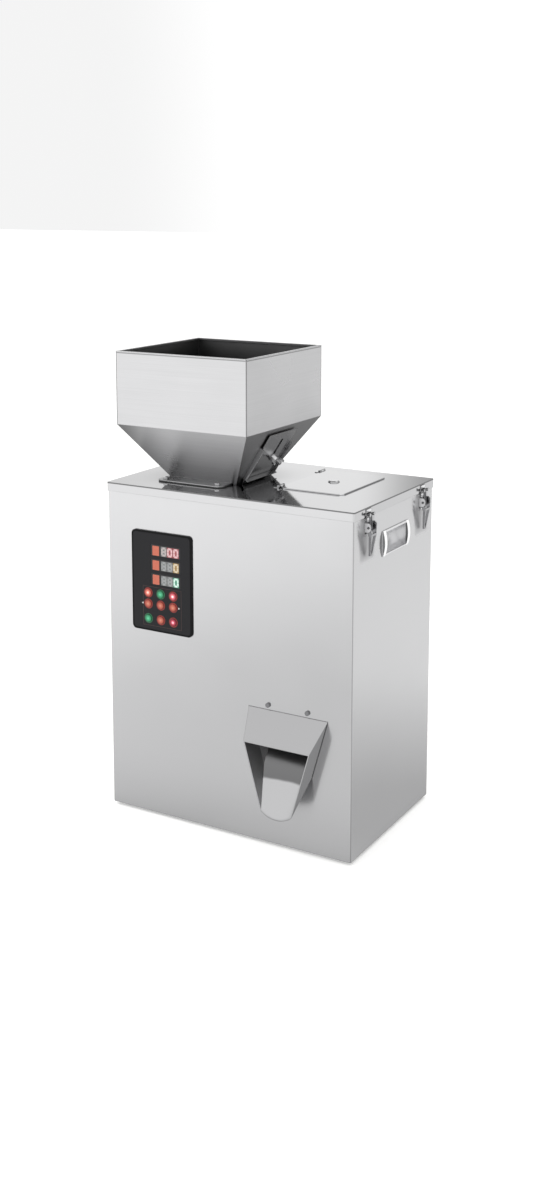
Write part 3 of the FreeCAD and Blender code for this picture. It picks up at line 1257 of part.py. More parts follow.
def make_power_supply():
    x0 = LEFT_X + SUPPLY_LEFT
    y0 = FRONT_Y + SUPPLY_FRONT
    top = FLOOR_Z + SUPPLY_HEIGHT
    case = box(x0, x0 + SUPPLY_LENGTH, y0, y0 + SUPPLY_WIDTH, FLOOR_Z, top)
    step = box(x0 - EXTRA, x0 + SUPPLY_STEP, y0 - EXTRA, y0 + SUPPLY_WIDTH + EXTRA,
               top - SUPPLY_STEP_HEIGHT, top + EXTRA)
    return case.cut(step)


def inlet_pocket(width, z0, z1, depth, gap):
    """Pocket into the inlet's face, wider than what it holds by the gap."""
    half = width / 2 + gap
    return box(INLET_X - half, INLET_X + half, INLET_FACE - depth - gap, INLET_FACE + EXTRA, z0 - gap, z1 + gap)


def make_inlet():
    flange = inlet_outline(INLET_FLANGE_LAP, REAR_Y + SHEET, INLET_FACE)
    flange = round_edges(flange, INLET_FLANGE_CORNER, vec(0, 1, 0))
    body = flange.fuse(inlet_outline(0, INLET_FACE - INLET_DEPTH, INLET_FACE))
    socket_z = INLET_Z - INLET_HEIGHT / 2 + SOCKET_FLOOR
    socket = inlet_pocket(INLET_WIDTH - 2 * SOCKET_WALL, socket_z, socket_z + SOCKET_HEIGHT, SOCKET_DEPTH, 0)
    half = ROCKER_HEIGHT / 2
    rocker = inlet_pocket(ROCKER_WIDTH, ROCKER_Z - half, ROCKER_Z + half, ROCKER_DEPTH - FIT_GAP, FIT_GAP)
    drawer = inlet_pocket(DRAWER_WIDTH, DRAWER_Z, DRAWER_Z + DRAWER_HEIGHT, DRAWER_DEPTH + 2 * EXTRA, SEAT_GAP)
    pins = []
    spread = SOCKET_PIN_SPREAD
    for x, drop in ((-spread, SOCKET_PIN_LOW), (spread, SOCKET_PIN_LOW), (0, SOCKET_PIN_HIGH)):
        z = INLET_Z - drop - SOCKET_PIN_HEIGHT / 2
        middle = INLET_X + x
        pins.append(box(middle - SOCKET_PIN_HALF, middle + SOCKET_PIN_HALF, INLET_FACE - SOCKET_DEPTH - EXTRA,
                        INLET_FACE - SOCKET_PIN_START, z, z + SOCKET_PIN_HEIGHT))
    axle = rocker_rod(ROCKER_AXLE, ROCKER_WIDTH / 2 + EXTRA)
    return cut(body, [socket, rocker, drawer]).fuse(pins + [axle]).removeSplitter()


def rocker_axis():
    return vec(INLET_X, INLET_FACE - ROCKER_AXLE_DEPTH, ROCKER_Z)


def rocker_rod(radius, half):
    axis = rocker_axis()
    return rod(radius, axis - vec(half, 0, 0), axis + vec(half, 0, 0))


def make_rocker():
    """Rocker with its lower half pressed: the upper half stands proud."""
    axis = rocker_axis()
    half = ROCKER_HEIGHT / 2 - EXTRA
    proud = ROCKER_AXLE_DEPTH + ROCKER_PROUD
    level = ROCKER_AXLE_DEPTH + FIT_GAP
    waist = 2 * ROCKER_AXLE
    points = [(level, -half), (level, 0), (proud, half - EXTRA), (EXTRA, half - FIT_GAP)]
    points += [(-waist - FIT_GAP, waist), (-waist - FIT_GAP, -waist), (-waist + FIT_GAP, FIT_GAP - half)]
    width = ROCKER_WIDTH - 2 * SEAT_GAP
    outline = [vec(INLET_X - width / 2, axis.y + y, axis.z + z) for y, z in points]
    return prism(outline, vec(width, 0, 0)).cut(rocker_rod(ROCKER_AXLE + PIN_GAP, ROCKER_WIDTH))


def make_drawer():
    half = DRAWER_WIDTH / 2
    face = INLET_FACE + DRAWER_PROUD
    top = DRAWER_Z + DRAWER_HEIGHT
    body = box(INLET_X - half, INLET_X + half, INLET_FACE - DRAWER_DEPTH, face, DRAWER_Z, top)
    grip_z = DRAWER_Z + (DRAWER_HEIGHT - DRAWER_GRIP) / 2
    grip = box(INLET_X - half + 2 * DRAWER_GRIP, INLET_X + half - 2 * DRAWER_GRIP, face - EXTRA / 2,
               face + DRAWER_PROUD, grip_z, grip_z + DRAWER_GRIP)
    return union([body, grip])


def build():
    os.makedirs("parts", exist_ok=True)
    save("cabinet_shell", make_shell())
    save("base_plate", make_base_plate())
    save("feet", make_feet())
    save("rear_panel", make_rear_panel())
    save("rear_panel_screws", make_rear_screws())
    save("lid", make_lid())
    save("hopper", make_hopper())
    save("hopper_gaskets", make_gaskets())
    save("hopper_bolts", make_hopper_bolts())
    save("gate_guide", make_gate_guide())
    save("gate_plate", make_gate_plate())
    save("gate_wing_nut", make_wing_nut())
    save("access_cover", make_cover())
    save("cover_hinge", make_hinge())
    save("cover_knob", make_knob())
    save("keypad_panel", make_keypad_panel())
    for row in range(DISPLAY_ROWS):
        save("display_" + str(row + 1), make_display(row))
    for number, (x, z) in enumerate(key_places(), 1):
        save("key_" + str(number), make_key(x, z))
    save("control_board", make_board())
    save("chute", make_chute())
    save("chute_screws", make_chute_screws())
    save("discharge_funnel", make_drop_funnel())
    save("latch_bases", each_latch(make_latch_base()))
    save("latch_pins", each_latch(make_latch_pins()))
    save("latch_keepers", each_latch(make_keeper()))
    for name, side, row in latch_stations():
        save("latch_lever_" + name, place_latch(make_latch_lever(), side, row))
        save("latch_bail_" + name, place_latch(make_latch_bail(), side, row))
    save("handle_right", make_handle(1))
    save("handle_left", make_handle(-1))
    save("feed_tray", make_feed_tray())
    save("leaf_springs", make_leaf_springs())
    save("feeder_base", make_feeder_base())
    save("vibrator_coil", make_coil())
    save("weigh_bucket", make_bucket())
    save("bucket_flap", make_flap())
    save("flap_solenoid", make_solenoid())
    save("solenoid_plunger", make_plunger())
    save("load_cell", make_load_cell())
    save("support_frame", Part.makeCompound([make_table(), make_column()]))
    save("power_supply", make_power_supply())
    save("power_inlet", make_inlet())
    save("rocker_switch", make_rocker())
    save("fuse_drawer", make_drawer())


build()
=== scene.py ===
import bpy
import math
from mathutils import Matrix, Vector


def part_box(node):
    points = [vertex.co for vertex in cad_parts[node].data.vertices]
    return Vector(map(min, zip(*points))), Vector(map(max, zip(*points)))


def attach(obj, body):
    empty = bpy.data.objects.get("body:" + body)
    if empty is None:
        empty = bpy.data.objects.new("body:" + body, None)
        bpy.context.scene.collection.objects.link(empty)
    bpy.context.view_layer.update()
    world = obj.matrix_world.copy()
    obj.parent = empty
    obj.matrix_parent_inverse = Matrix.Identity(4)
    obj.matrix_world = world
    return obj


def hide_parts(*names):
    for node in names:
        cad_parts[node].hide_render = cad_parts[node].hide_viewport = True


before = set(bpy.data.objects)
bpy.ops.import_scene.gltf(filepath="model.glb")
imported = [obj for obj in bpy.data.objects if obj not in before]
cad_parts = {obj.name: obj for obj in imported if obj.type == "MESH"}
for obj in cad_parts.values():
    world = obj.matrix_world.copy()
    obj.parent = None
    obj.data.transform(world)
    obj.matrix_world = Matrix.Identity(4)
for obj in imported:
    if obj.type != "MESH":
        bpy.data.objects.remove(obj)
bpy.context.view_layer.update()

# Camera
# Solved from the straight edges of the photograph. It stands to the right of the machine
# and above its lid, and the picture is shifted to leave room below.

CAMERA_PLACE = (1.0649, -1.8345, 0.9756)
CAMERA_TILT = math.radians(80.95)
CAMERA_HEADING = math.radians(30.0)
CAMERA_LENS = 41.47
CAMERA_SENSOR = 36.0
CAMERA_SHIFT = -0.153
CAMERA_REACH = 200.0

camera_data = bpy.data.cameras.new("photo_camera")
camera_data.lens = CAMERA_LENS
camera_data.sensor_width = CAMERA_SENSOR
camera_data.shift_y = CAMERA_SHIFT
camera_data.clip_end = CAMERA_REACH
camera = bpy.data.objects.new("photo_camera", camera_data)
camera.location = CAMERA_PLACE
camera.rotation_euler = (CAMERA_TILT, 0.0, CAMERA_HEADING)
bpy.context.scene.collection.objects.link(camera)
bpy.context.scene.camera = camera
bpy.context.scene.view_settings.view_transform = "Standard"

# Sky
# A light tent: light from all round at the height of the horizon, a little more from the front,
# and a dark ceiling. Behind the machine hang two dimmer sheets and a dark flag. The edges are
# given as parts of a unit direction, from where the change starts to where it ends.

TENT_LIGHT = 1.08
TENT_FRONT = 1.13
TENT_FRONT_EDGE = (0.1, -0.5)
CEILING_LIGHT = 0.25
CEILING_EDGE = (0.86, 0.99)
SHEET_EDGE = (0.3, 0.6)
LEFT_SHEET_LIGHT = 0.84
LEFT_SHEET_EDGE = (-0.47, -0.60)
RIGHT_SHEET_LIGHT = 0.97
RIGHT_SHEET_EDGE = (0.1, 0.4)
FLAG_LIGHT = 0.43
FLAG_HEADING = math.radians(24.7)
FLAG_SIDE_EDGE = (-0.03, 0.03)
FLAG_BACK_EDGE = (0.5, 0.8)
FLAG_LOW_EDGE = (0.14, 0.19)


def linear(code):
    """Turns an sRGB hex colour into the linear colour that a shader takes."""
    channels = [int(code[at:at + 2], 16) / 255 for at in (0, 2, 4)]
    return [c / 12.92 if c <= 0.04045 else ((c + 0.055) / 1.055) ** 2.4 for c in channels] + [1.0]


def add(tree, kind, inputs=None, **settings):
    """Adds a node: settings are its own options, and inputs hold a value or the socket that feeds it."""
    node = tree.nodes.new(kind)
    for name, value in settings.items():
        setattr(node, name, value)
    for name, value in (inputs or {}).items():
        if isinstance(value, bpy.types.NodeSocket):
            tree.links.new(value, node.inputs[name])
        else:
            node.inputs[name].default_value = value
    return node


def maths(tree, operation, *values, clamp=False):
    """One step of arithmetic on values or sockets."""
    node = add(tree, "ShaderNodeMath", dict(enumerate(values)), operation=operation, use_clamp=clamp)
    return node.outputs["Value"]


def times(tree, product, *factors):
    """The product of values or sockets."""
    for factor in factors:
        product = maths(tree, "MULTIPLY", product, factor)
    return product


def ramp(tree, value, start, end, low, high, kind="LINEAR"):
    """Goes straight from low to high while the value goes from start to end."""
    return add(tree, "ShaderNodeMapRange", {
        "Value": value, "From Min": start, "From Max": end, "To Min": low, "To Max": high},
        interpolation_type=kind).outputs["Result"]


def step(tree, value, start, end, low=0.0, high=1.0):
    """Goes smoothly from low to high while the value goes from start to end."""
    return ramp(tree, value, start, end, low, high, "SMOOTHSTEP")


def factor_where(tree, mask, factor):
    """The factor where the mask is 1, and 1 where it is 0."""
    return maths(tree, "MULTIPLY_ADD", mask, maths(tree, "SUBTRACT", factor, 1.0), 1.0)


def split(tree, coords, output="Object"):
    """The x, y and z of a texture coordinate."""
    node = add(tree, "ShaderNodeSeparateXYZ", {"Vector": coords.outputs[output]})
    return [node.outputs[axis] for axis in "XYZ"]


world = bpy.data.worlds.new("light_tent")
bpy.context.scene.world = world
world.use_nodes = True
sky = world.node_tree
sky.nodes.clear()
way = add(sky, "ShaderNodeTexCoord")
east, north, rise = split(sky, way, "Generated")
light = step(sky, rise, *CEILING_EDGE, TENT_LIGHT, CEILING_LIGHT)
light = times(sky, light, step(sky, north, *TENT_FRONT_EDGE, 1.0, TENT_FRONT))
behind = step(sky, north, *SHEET_EDGE)
for sheet_edge, sheet_light in ((LEFT_SHEET_EDGE, LEFT_SHEET_LIGHT), (RIGHT_SHEET_EDGE, RIGHT_SHEET_LIGHT)):
    sheet = times(sky, behind, step(sky, east, *sheet_edge))
    light = times(sky, light, factor_where(sky, sheet, sheet_light))
along_flag = (math.cos(FLAG_HEADING), math.sin(FLAG_HEADING), 0.0)
side = add(sky, "ShaderNodeVectorMath", {0: way.outputs["Generated"], 1: along_flag},
           operation="DOT_PRODUCT")
flag = times(sky, step(sky, side.outputs["Value"], *FLAG_SIDE_EDGE), step(sky, north, *FLAG_BACK_EDGE),
             step(sky, rise, *FLAG_LOW_EDGE))
light = times(sky, light, factor_where(sky, flag, FLAG_LIGHT))
glow = add(sky, "ShaderNodeBackground", {"Color": linear("FFFFFF"), "Strength": light})
add(sky, "ShaderNodeOutputWorld", {"Surface": glow.outputs["Background"]})

# Studio floor
# Matt white paper that reaches far beyond the picture. A glow of its own keeps it as white
# as in the photograph, up to the soft shadow along the machine.

FLOOR_SIZE = 60.0
FLOOR_COLOUR = "F8F8F7"
FLOOR_MOTTLE = "F0F0EF"
FLOOR_MOTTLE_SCALE = 3.0
FLOOR_ROUGHNESS = 0.9
FLOOR_GLOW = 0.22


def blank_material(name):
    """A new material with its node tree emptied."""
    material = bpy.data.materials.new(name)
    material.use_nodes = True
    material.node_tree.nodes.clear()
    return material, material.node_tree


def noise(tree, vector, scale, detail=2.0, roughness=0.5):
    """Noise between 0 and 1."""
    return add(tree, "ShaderNodeTexNoise", {
        "Vector": vector, "Scale": scale, "Detail": detail, "Roughness": roughness}).outputs["Fac"]


def blend(tree, factor, first, second):
    """A colour between two others."""
    return add(tree, "ShaderNodeMix", {"Factor": factor, "A": first, "B": second},
               data_type="RGBA").outputs["Result"]


def start(maker, name, **settings):
    """Adds a primitive with nothing else selected, and names it."""
    bpy.ops.object.select_all(action="DESELECT")
    maker(**settings)
    piece = bpy.context.object
    piece.name = name
    return piece


floor = start(bpy.ops.mesh.primitive_plane_add, "studio_floor", size=FLOOR_SIZE)
floor_paint, tree = blank_material("matt_white_paper")
mottle = noise(tree, add(tree, "ShaderNodeTexCoord").outputs["Object"], FLOOR_MOTTLE_SCALE, 3.0)
paper = add(tree, "ShaderNodeBsdfPrincipled", {
    "Base Color": blend(tree, mottle, linear(FLOOR_COLOUR), linear(FLOOR_MOTTLE)),
    "Roughness": FLOOR_ROUGHNESS, "Specular IOR Level": 0.0,
    "Emission Color": linear(FLOOR_COLOUR), "Emission Strength": FLOOR_GLOW})
add(tree, "ShaderNodeOutputMaterial", {"Surface": paper.outputs["BSDF"]})
floor.data.materials.append(floor_paint)

# Floor as mirrored
# The floor that the steel mirrors, which has the shades of a studio's paper sweep. It is dim near
# the machine and brighter further away, and shows in reflections alone.

SWEEP_HEIGHT = 0.0004
SWEEP_MIDDLE = (0.12, -0.02, 0.0)
SWEEP_START = 0.25
BEHIND_END = 0.8
BEHIND_LIGHT = (0.62, 1.06)
AHEAD_END = 2.0
AHEAD_LIGHT = (0.86, 1.38)
AHEAD_EDGE = (0.0, -0.35)
BACK_FAR_LIGHT = 0.96
BACK_FAR_EDGE = (0.0, 0.3)
BACK_FAR_REACH = (1.2, 3.5)
FRONT_RIGHT_LIGHT = 0.86
FRONT_RIGHT_AHEAD = (-0.3, -0.8)
FRONT_RIGHT_ACROSS = (-0.9, -0.3)


def distance(tree, coords, place):
    """How far a point of the surface is from a place."""
    return add(tree, "ShaderNodeVectorMath", {0: coords.outputs["Object"], 1: place},
               operation="DISTANCE").outputs["Value"]


def lit_card(card, name, strength):
    """Makes a card shine, and keeps it out of the camera's view and of the diffuse light."""
    material, tree = blank_material(name)
    if callable(strength):
        strength = strength(tree)
    shine = add(tree, "ShaderNodeEmission", {"Color": linear("FFFFFF"), "Strength": strength})
    add(tree, "ShaderNodeOutputMaterial", {"Surface": shine.outputs["Emission"]})
    card.data.materials.append(material)
    card.visible_camera = False
    card.visible_diffuse = False
    card.visible_shadow = False
    card.visible_transmission = False


def sweep_light(tree):
    """The light of the mirrored floor from place to place."""
    coords = add(tree, "ShaderNodeTexCoord")
    east, north = split(tree, coords)[:2]
    reach = distance(tree, coords, SWEEP_MIDDLE)
    back = ramp(tree, reach, SWEEP_START, BEHIND_END, *BEHIND_LIGHT)
    front = ramp(tree, reach, SWEEP_START, AHEAD_END, *AHEAD_LIGHT)
    level = add(tree, "ShaderNodeMix", {"Factor": step(tree, north, *AHEAD_EDGE), "A": back, "B": front})
    back_far = times(tree, step(tree, north, *BACK_FAR_EDGE), step(tree, reach, *BACK_FAR_REACH))
    front_right = times(tree, step(tree, north, *FRONT_RIGHT_AHEAD), step(tree, east, *FRONT_RIGHT_ACROSS))
    return times(tree, level.outputs["Result"], factor_where(tree, back_far, BACK_FAR_LIGHT),
                 factor_where(tree, front_right, FRONT_RIGHT_LIGHT))


sweep = start(bpy.ops.mesh.primitive_plane_add, "floor_as_mirrored", size=FLOOR_SIZE,
              location=(0.0, 0.0, SWEEP_HEIGHT))
lit_card(sweep, "shaded_paper_sweep", sweep_light)

# Soft lights and grey card
# Three soft lights that light what is dull and show in no mirror. The card stands behind the
# machine, and the polished lid mirrors its grey.

SOFTBOX_SIZE = 1.2
CARD_PLACE = (0.08, 0.45, 0.36)
CARD_SIZE = (0.36, 0.30, 1.0)
CARD_LIGHT = 0.33
UPRIGHT = (math.radians(90.0), 0.0, 0.0)


def hidden_light(name, kind, power, place, turn=(0.0, 0.0, 0.0)):
    """A soft light that shows in no mirror and to no camera."""
    data = bpy.data.lights.new(name, kind)
    data.energy = power
    lamp = bpy.data.objects.new(name, data)
    lamp.location = place
    lamp.rotation_euler = turn
    lamp.visible_glossy = False
    lamp.visible_camera = False
    bpy.context.scene.collection.objects.link(lamp)
    return data


overhead = hidden_light("overhead_softbox", "SUN", power=0.5, place=(0.0, 0.0, 3.0), turn=(0.4, -0.25, 0.0))
overhead.angle = math.radians(90.0)
hidden_light("front_softbox", "AREA", power=22.0, place=(-1.2, -1.7, 2.2)).size = SOFTBOX_SIZE
hidden_light("back_softbox", "AREA", power=16.0, place=(0.9, 1.5, 2.2)).size = SOFTBOX_SIZE

card = start(bpy.ops.mesh.primitive_plane_add, "grey_card", size=1.0, location=CARD_PLACE, rotation=UPRIGHT)
card.scale = CARD_SIZE
lit_card(card, "grey_card_board", CARD_LIGHT)

# Cabinet shell and rear panel
# Folded stainless sheet with a satin finish: fine level brushing that smears what it mirrors
# upwards and downwards, and leaves it sharp from side to side. The rear panel is screwed on.

MM = 0.001
GRAIN_LENGTHWISE = 6.0
GRAIN_DETAIL = 4.0
GRAIN_ROUGHNESS = 0.65
GRAIN_STRENGTH = 0.5
SMUDGE_SCALE = 9.0
SMUDGE_RANGE = (0.35, 0.65)
SMUDGE_SPREAD = 0.12
BEND_RANGE = (0.80, 0.995)
GAP_RANGE = (0.15, 0.9)
AS_ROLLED = 0.55
BRUSHED_ALONG = (0.0, 0.05, 1.0)
SHELL_CORNER_LINE = 0.0014
SHELL_CORNER_REFLECTION_TONE = 0.68
WORN_RAISE = 0.008
WORN_ACROSS = (0.030, 0.018)
WORN_HIGH = (0.044, 0.034)
WORN_SHARE = 0.6
shell_low, shell_high = map(Vector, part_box("cabinet_shell"))


def shaded(tree, tone, factor):
    """A tone, made darker or lighter by a factor."""
    return add(tree, "ShaderNodeVectorMath", {0: tuple(linear(tone)[:3]), "Scale": factor},
               operation="SCALE").outputs["Vector"]


def stainless(name, tone, roughness, anisotropy=0.0, grain_mm=3.0, grain_depth=0.02, cloud=0.05, edge=0.5,
              edge_mm=1.3, shade=0.3, shade_mm=40.0, local=None, matt=None):
    """Stainless sheet. Its grain runs level, in lines grain_mm high that differ by cloud in tone. Bends are
    painted darker by edge within edge_mm, a painted reflection of the dark ceiling, and corners and gaps by
    shade within shade_mm, painted shade. From the texture coordinates, local gives one more factor of the
    tone, and matt is 1 where the sheet is left as rolled."""
    material, tree = blank_material(name)
    coords = add(tree, "ShaderNodeTexCoord")
    fine = 1.0 / (grain_mm * MM)
    stretch = add(tree, "ShaderNodeMapping", {
        "Vector": coords.outputs["Object"], "Scale": (GRAIN_LENGTHWISE, GRAIN_LENGTHWISE, fine)})
    lines = noise(tree, stretch.outputs["Vector"], 1.0, GRAIN_DETAIL, GRAIN_ROUGHNESS)
    smudge = noise(tree, coords.outputs["Object"], SMUDGE_SCALE, GRAIN_DETAIL)
    bend = add(tree, "ShaderNodeBevel", {"Radius": edge_mm * MM}, samples=4)
    flat = add(tree, "ShaderNodeNewGeometry")
    turn = add(tree, "ShaderNodeVectorMath", {0: bend.outputs["Normal"], 1: flat.outputs["Normal"]},
               operation="DOT_PRODUCT")
    corner = add(tree, "ShaderNodeAmbientOcclusion", {"Distance": shade_mm * MM}, samples=8)
    # Painted reflection along the bends and painted shade in corners and gaps, from the bevel and occlusion
    # nodes.
    factor = times(tree, ramp(tree, lines, 0.0, 1.0, 1.0 - cloud, 1.0 + cloud),
                   step(tree, turn.outputs["Value"], *BEND_RANGE, 1.0 - edge, 1.0),
                   step(tree, corner.outputs["AO"], *GAP_RANGE, 1.0 - shade, 1.0))
    if local:
        factor = times(tree, factor, local(tree, coords))
    dull = ramp(tree, smudge, *SMUDGE_RANGE, roughness * (1.0 - SMUDGE_SPREAD),
                roughness * (1.0 + SMUDGE_SPREAD))
    if matt:
        dull = maths(tree, "MULTIPLY_ADD", matt(tree, coords), AS_ROLLED, dull)
    bump = add(tree, "ShaderNodeBump", {
        "Height": lines, "Distance": grain_depth * MM, "Strength": GRAIN_STRENGTH,
        "Normal": bend.outputs["Normal"]})
    along = add(tree, "ShaderNodeVectorTransform", {"Vector": BRUSHED_ALONG}, vector_type="VECTOR",
                convert_from="OBJECT", convert_to="WORLD")
    metal = add(tree, "ShaderNodeBsdfPrincipled", {
        "Base Color": shaded(tree, tone, factor), "Metallic": 1.0, "Roughness": dull,
        "Anisotropic": anisotropy, "Tangent": along.outputs["Vector"], "Normal": bump.outputs["Normal"]})
    add(tree, "ShaderNodeOutputMaterial", {"Surface": metal.outputs["BSDF"]})
    return material


def finish_nodes(material, *names):
    """Gives CAD nodes a material."""
    for name in names:
        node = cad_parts[name]
        if not node.material_slots:
            node.data.materials.append(material)
        for slot in node.material_slots:
            slot.material = material


def apart(tree, value, middle):
    """How far a value is from a middle, either way."""
    return maths(tree, "ABSOLUTE", maths(tree, "SUBTRACT", value, middle))


def near_corner(tree, place, low, high, width):
    """1 along the upright corners of a box, else 0."""
    near = []
    for axis in (0, 1):
        middle = (low[axis] + high[axis]) / 2
        away = apart(tree, place[axis], middle)
        near.append(maths(tree, "GREATER_THAN", away, high[axis] - middle - width))
    return times(tree, *near)


def painted_corner_lines(tree, coords):
    """Painted reflection: a thin dark line along the tight bends at the upright corners, where they mirror
    the dark ceiling and floor.
    """
    corners = near_corner(tree, split(tree, coords), shell_low, shell_high, SHELL_CORNER_LINE)
    return factor_where(tree, corners, SHELL_CORNER_REFLECTION_TONE)


def worn_wall(tree, coords):
    """The side walls are rubbed dull around the latches."""
    place = split(tree, coords)
    spots = []
    for name in ("latch_lever_right_front", "latch_lever_right_rear"):
        low, high = map(Vector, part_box(name))
        across = apart(tree, place[1], (low.y + high.y) / 2)
        rise = apart(tree, place[2], (low.z + high.z) / 2 + WORN_RAISE)
        spots.append(times(tree, step(tree, across, *WORN_ACROSS), step(tree, rise, *WORN_HIGH)))
    return times(tree, maths(tree, "MAXIMUM", *spots), WORN_SHARE)


satin = stainless("satin_stainless_sheet", "C8C8C9", roughness=0.19, anisotropy=0.8, grain_mm=0.35,
                  grain_depth=0.01, edge=0.45, edge_mm=1.6, shade=0.12, local=painted_corner_lines, matt=worn_wall)
finish_nodes(satin, "cabinet_shell", "rear_panel")
polished = stainless("polished_stainless_pressing", "C8C8C9", roughness=0.13, grain_mm=6.0,
                     grain_depth=0.006, cloud=0.02, edge=0.6, edge_mm=0.6, shade=0.7, shade_mm=16.0)
finish_nodes(polished, "rear_panel_screws")

# Base plate and feet
# Zinc-plated steel plate in the cabinet's bottom, on four feet of moulded rubber.

SPECK_DEPTH = 0.00003
SPECK_STRENGTH = 0.4


def plastic(name, tone, roughness, speck_mm=0.4, spread=0.15, gloss=0.5):
    """Moulded plastic or rubber with a fine grain. Its tone differs by spread from speck to speck."""
    material, tree = blank_material(name)
    coords = add(tree, "ShaderNodeTexCoord")
    speck = noise(tree, coords.outputs["Object"], 1.0 / (speck_mm * MM))
    tint = ramp(tree, speck, 0.0, 1.0, 1.0 - spread, 1.0 + spread)
    bump = add(tree, "ShaderNodeBump", {
        "Height": speck, "Distance": SPECK_DEPTH, "Strength": SPECK_STRENGTH})
    skin = add(tree, "ShaderNodeBsdfPrincipled", {
        "Base Color": shaded(tree, tone, tint), "Roughness": roughness,
        "Specular IOR Level": gloss, "Normal": bump.outputs["Normal"]})
    add(tree, "ShaderNodeOutputMaterial", {"Surface": skin.outputs["BSDF"]})
    return material


zinc = stainless("zinc_plated_sheet", "B9BCC2", roughness=0.38, cloud=0.08)
finish_nodes(zinc, "base_plate")
finish_nodes(plastic("black_rubber", "1C1C1D", roughness=0.7), "feet")

# Feeder and weighing unit
# A tray on leaf springs over a heavy plated base with a coil, and a bucket with a flap on a load
# cell. The tray, the bucket and the funnel under it are brushed sheet, as they touch the powder.

tray_steel = stainless("brushed_tray_stainless", "C8C8C9", roughness=0.28, anisotropy=0.5, grain_mm=0.9,
                       cloud=0.08, shade=0.4)
black_nylon = plastic("black_nylon", "202022", roughness=0.45)
finish_nodes(zinc, "support_frame", "feeder_base")
finish_nodes(tray_steel, "feed_tray", "leaf_springs", "weigh_bucket", "bucket_flap", "discharge_funnel")
finish_nodes(black_nylon, "vibrator_coil", "flap_solenoid")
finish_nodes(polished, "solenoid_plunger", "load_cell")

# Power supply, inlet, switch and fuse drawer
# A plated sheet box inside, and black nylon parts that snap into the rear panel.

finish_nodes(zinc, "power_supply")
finish_nodes(black_nylon, "power_inlet", "rocker_switch", "fuse_drawer")

# Discharge chute and its screws
# Satin stainless sheet, bent to a hood with two cheeks over a rounded trough, and held by two
# screws. Its inner faces are left as rolled. Its faces carry painted light and shade, and the trough
# a painted reflection of the dark inside of the hood.

HOOD_FOOT = (0.168, 0.172)
HOOD_FLOOR_SHADE = 0.76
CHEEK_SIDE = (-0.010, -0.014)
CHEEK_TURN = (0.6, 0.45)
CHEEK_OUTER_TURN = (0.6, 0.8)
CHEEK_OUTER_SHADE = 0.72
UNDERSIDE = (-0.1, -0.3)
UPSIDE = (0.05, 0.2)
INNER_HIGH = (0.08, 0.17)
INNER_LIGHT_AND_SHADE = (1.15, 0.75)
TROUGH_SHADE = 0.87
TROUGH_DARK_EDGE = (0.1125, 0.1165)
TROUGH_DARK_HIGH = (0.108, 0.150)
TROUGH_REFLECTION_TONE = (0.33, 0.40)
WAVE_SCALE = 22.0
WAVE_HEIGHT = 0.004
chute_low, chute_high = map(Vector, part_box("chute"))


def chute_inner(tree, coords):
    """1 on the inner faces of the hood and the cheeks, which are left as rolled."""
    normal = split(tree, coords, "Normal")
    across = maths(tree, "SUBTRACT", split(tree, coords)[0], (chute_low.x + chute_high.x) / 2)
    cheek = step(tree, times(tree, across, normal[0]), *CHEEK_SIDE)
    aside = maths(tree, "ABSOLUTE", normal[0])
    under = times(tree, step(tree, normal[2], *UNDERSIDE), step(tree, aside, *CHEEK_TURN))
    return maths(tree, "MAXIMUM", cheek, under)


def chute_light_and_shade(tree, coords):
    """Painted light and shade on the chute's faces. Upward faces above the hood's foot, the outer cheeks
    and the trough are painted darker, and the inner faces lighter low down and darker high up. Above a wavy
    level line the trough carries a painted reflection of the hood's dark inside.
    """
    z = split(tree, coords)[2]
    normal = split(tree, coords, "Normal")
    aside = maths(tree, "ABSOLUTE", normal[0])
    upward = times(tree, step(tree, normal[2], *UPSIDE), step(tree, aside, *CHEEK_TURN))
    hood_floor = times(tree, upward, step(tree, z, *HOOD_FOOT))
    trough = times(tree, upward, step(tree, z, *reversed(HOOD_FOOT)))
    wave = noise(tree, coords.outputs["Object"], WAVE_SCALE)
    level = maths(tree, "MULTIPLY_ADD", wave, WAVE_HEIGHT, z)
    dark = times(tree, trough, step(tree, level, *TROUGH_DARK_EDGE))
    inner = chute_inner(tree, coords)
    outer = maths(tree, "SUBTRACT", step(tree, aside, *CHEEK_OUTER_TURN), inner, clamp=True)
    return times(tree, factor_where(tree, inner, step(tree, z, *INNER_HIGH, *INNER_LIGHT_AND_SHADE)),
                 factor_where(tree, hood_floor, HOOD_FLOOR_SHADE),
                 factor_where(tree, outer, CHEEK_OUTER_SHADE),
                 factor_where(tree, trough, TROUGH_SHADE),
                 factor_where(tree, dark, step(tree, z, *TROUGH_DARK_HIGH, *TROUGH_REFLECTION_TONE)))


chute_steel = stainless("satin_chute_stainless", "C0C0C1", roughness=0.16, anisotropy=0.5, grain_mm=0.5,
                        grain_depth=0.01, cloud=0.03, edge_mm=0.9, shade=0.0, shade_mm=60.0,
                        local=chute_light_and_shade, matt=chute_inner)
screw_steel = stainless("dark_screw_steel", "8A8A8C", roughness=0.2, grain_mm=2.0, grain_depth=0.01,
                        edge=0.7, edge_mm=1.0, shade=0.6, shade_mm=8.0)
finish_nodes(chute_steel, "chute")
finish_nodes(screw_steel, "chute_screws")

# Keypad plate, circuit board and display windows
# The plate is a black polycarbonate moulding that clips into the cabinet's front. Behind it a
# green circuit board carries the keys and three displays with smoked windows.

panel_low, panel_high = map(Vector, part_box("keypad_panel"))
face_y = panel_low.y
plate_black = plastic("keypad_polycarbonate", "111112", roughness=0.35, spread=0.1, gloss=0.07)
finish_nodes(plate_black, "keypad_panel")
finish_nodes(plastic("green_circuit_board", "1E5A32", roughness=0.4), "control_board")
finish_nodes(plastic("smoked_window", "0E0E0F", roughness=0.2), "display_1", "display_2", "display_3")

# Keypad film
# A printed black film with rounded corners, glued on the plate, with a hole for every key and
# every display.

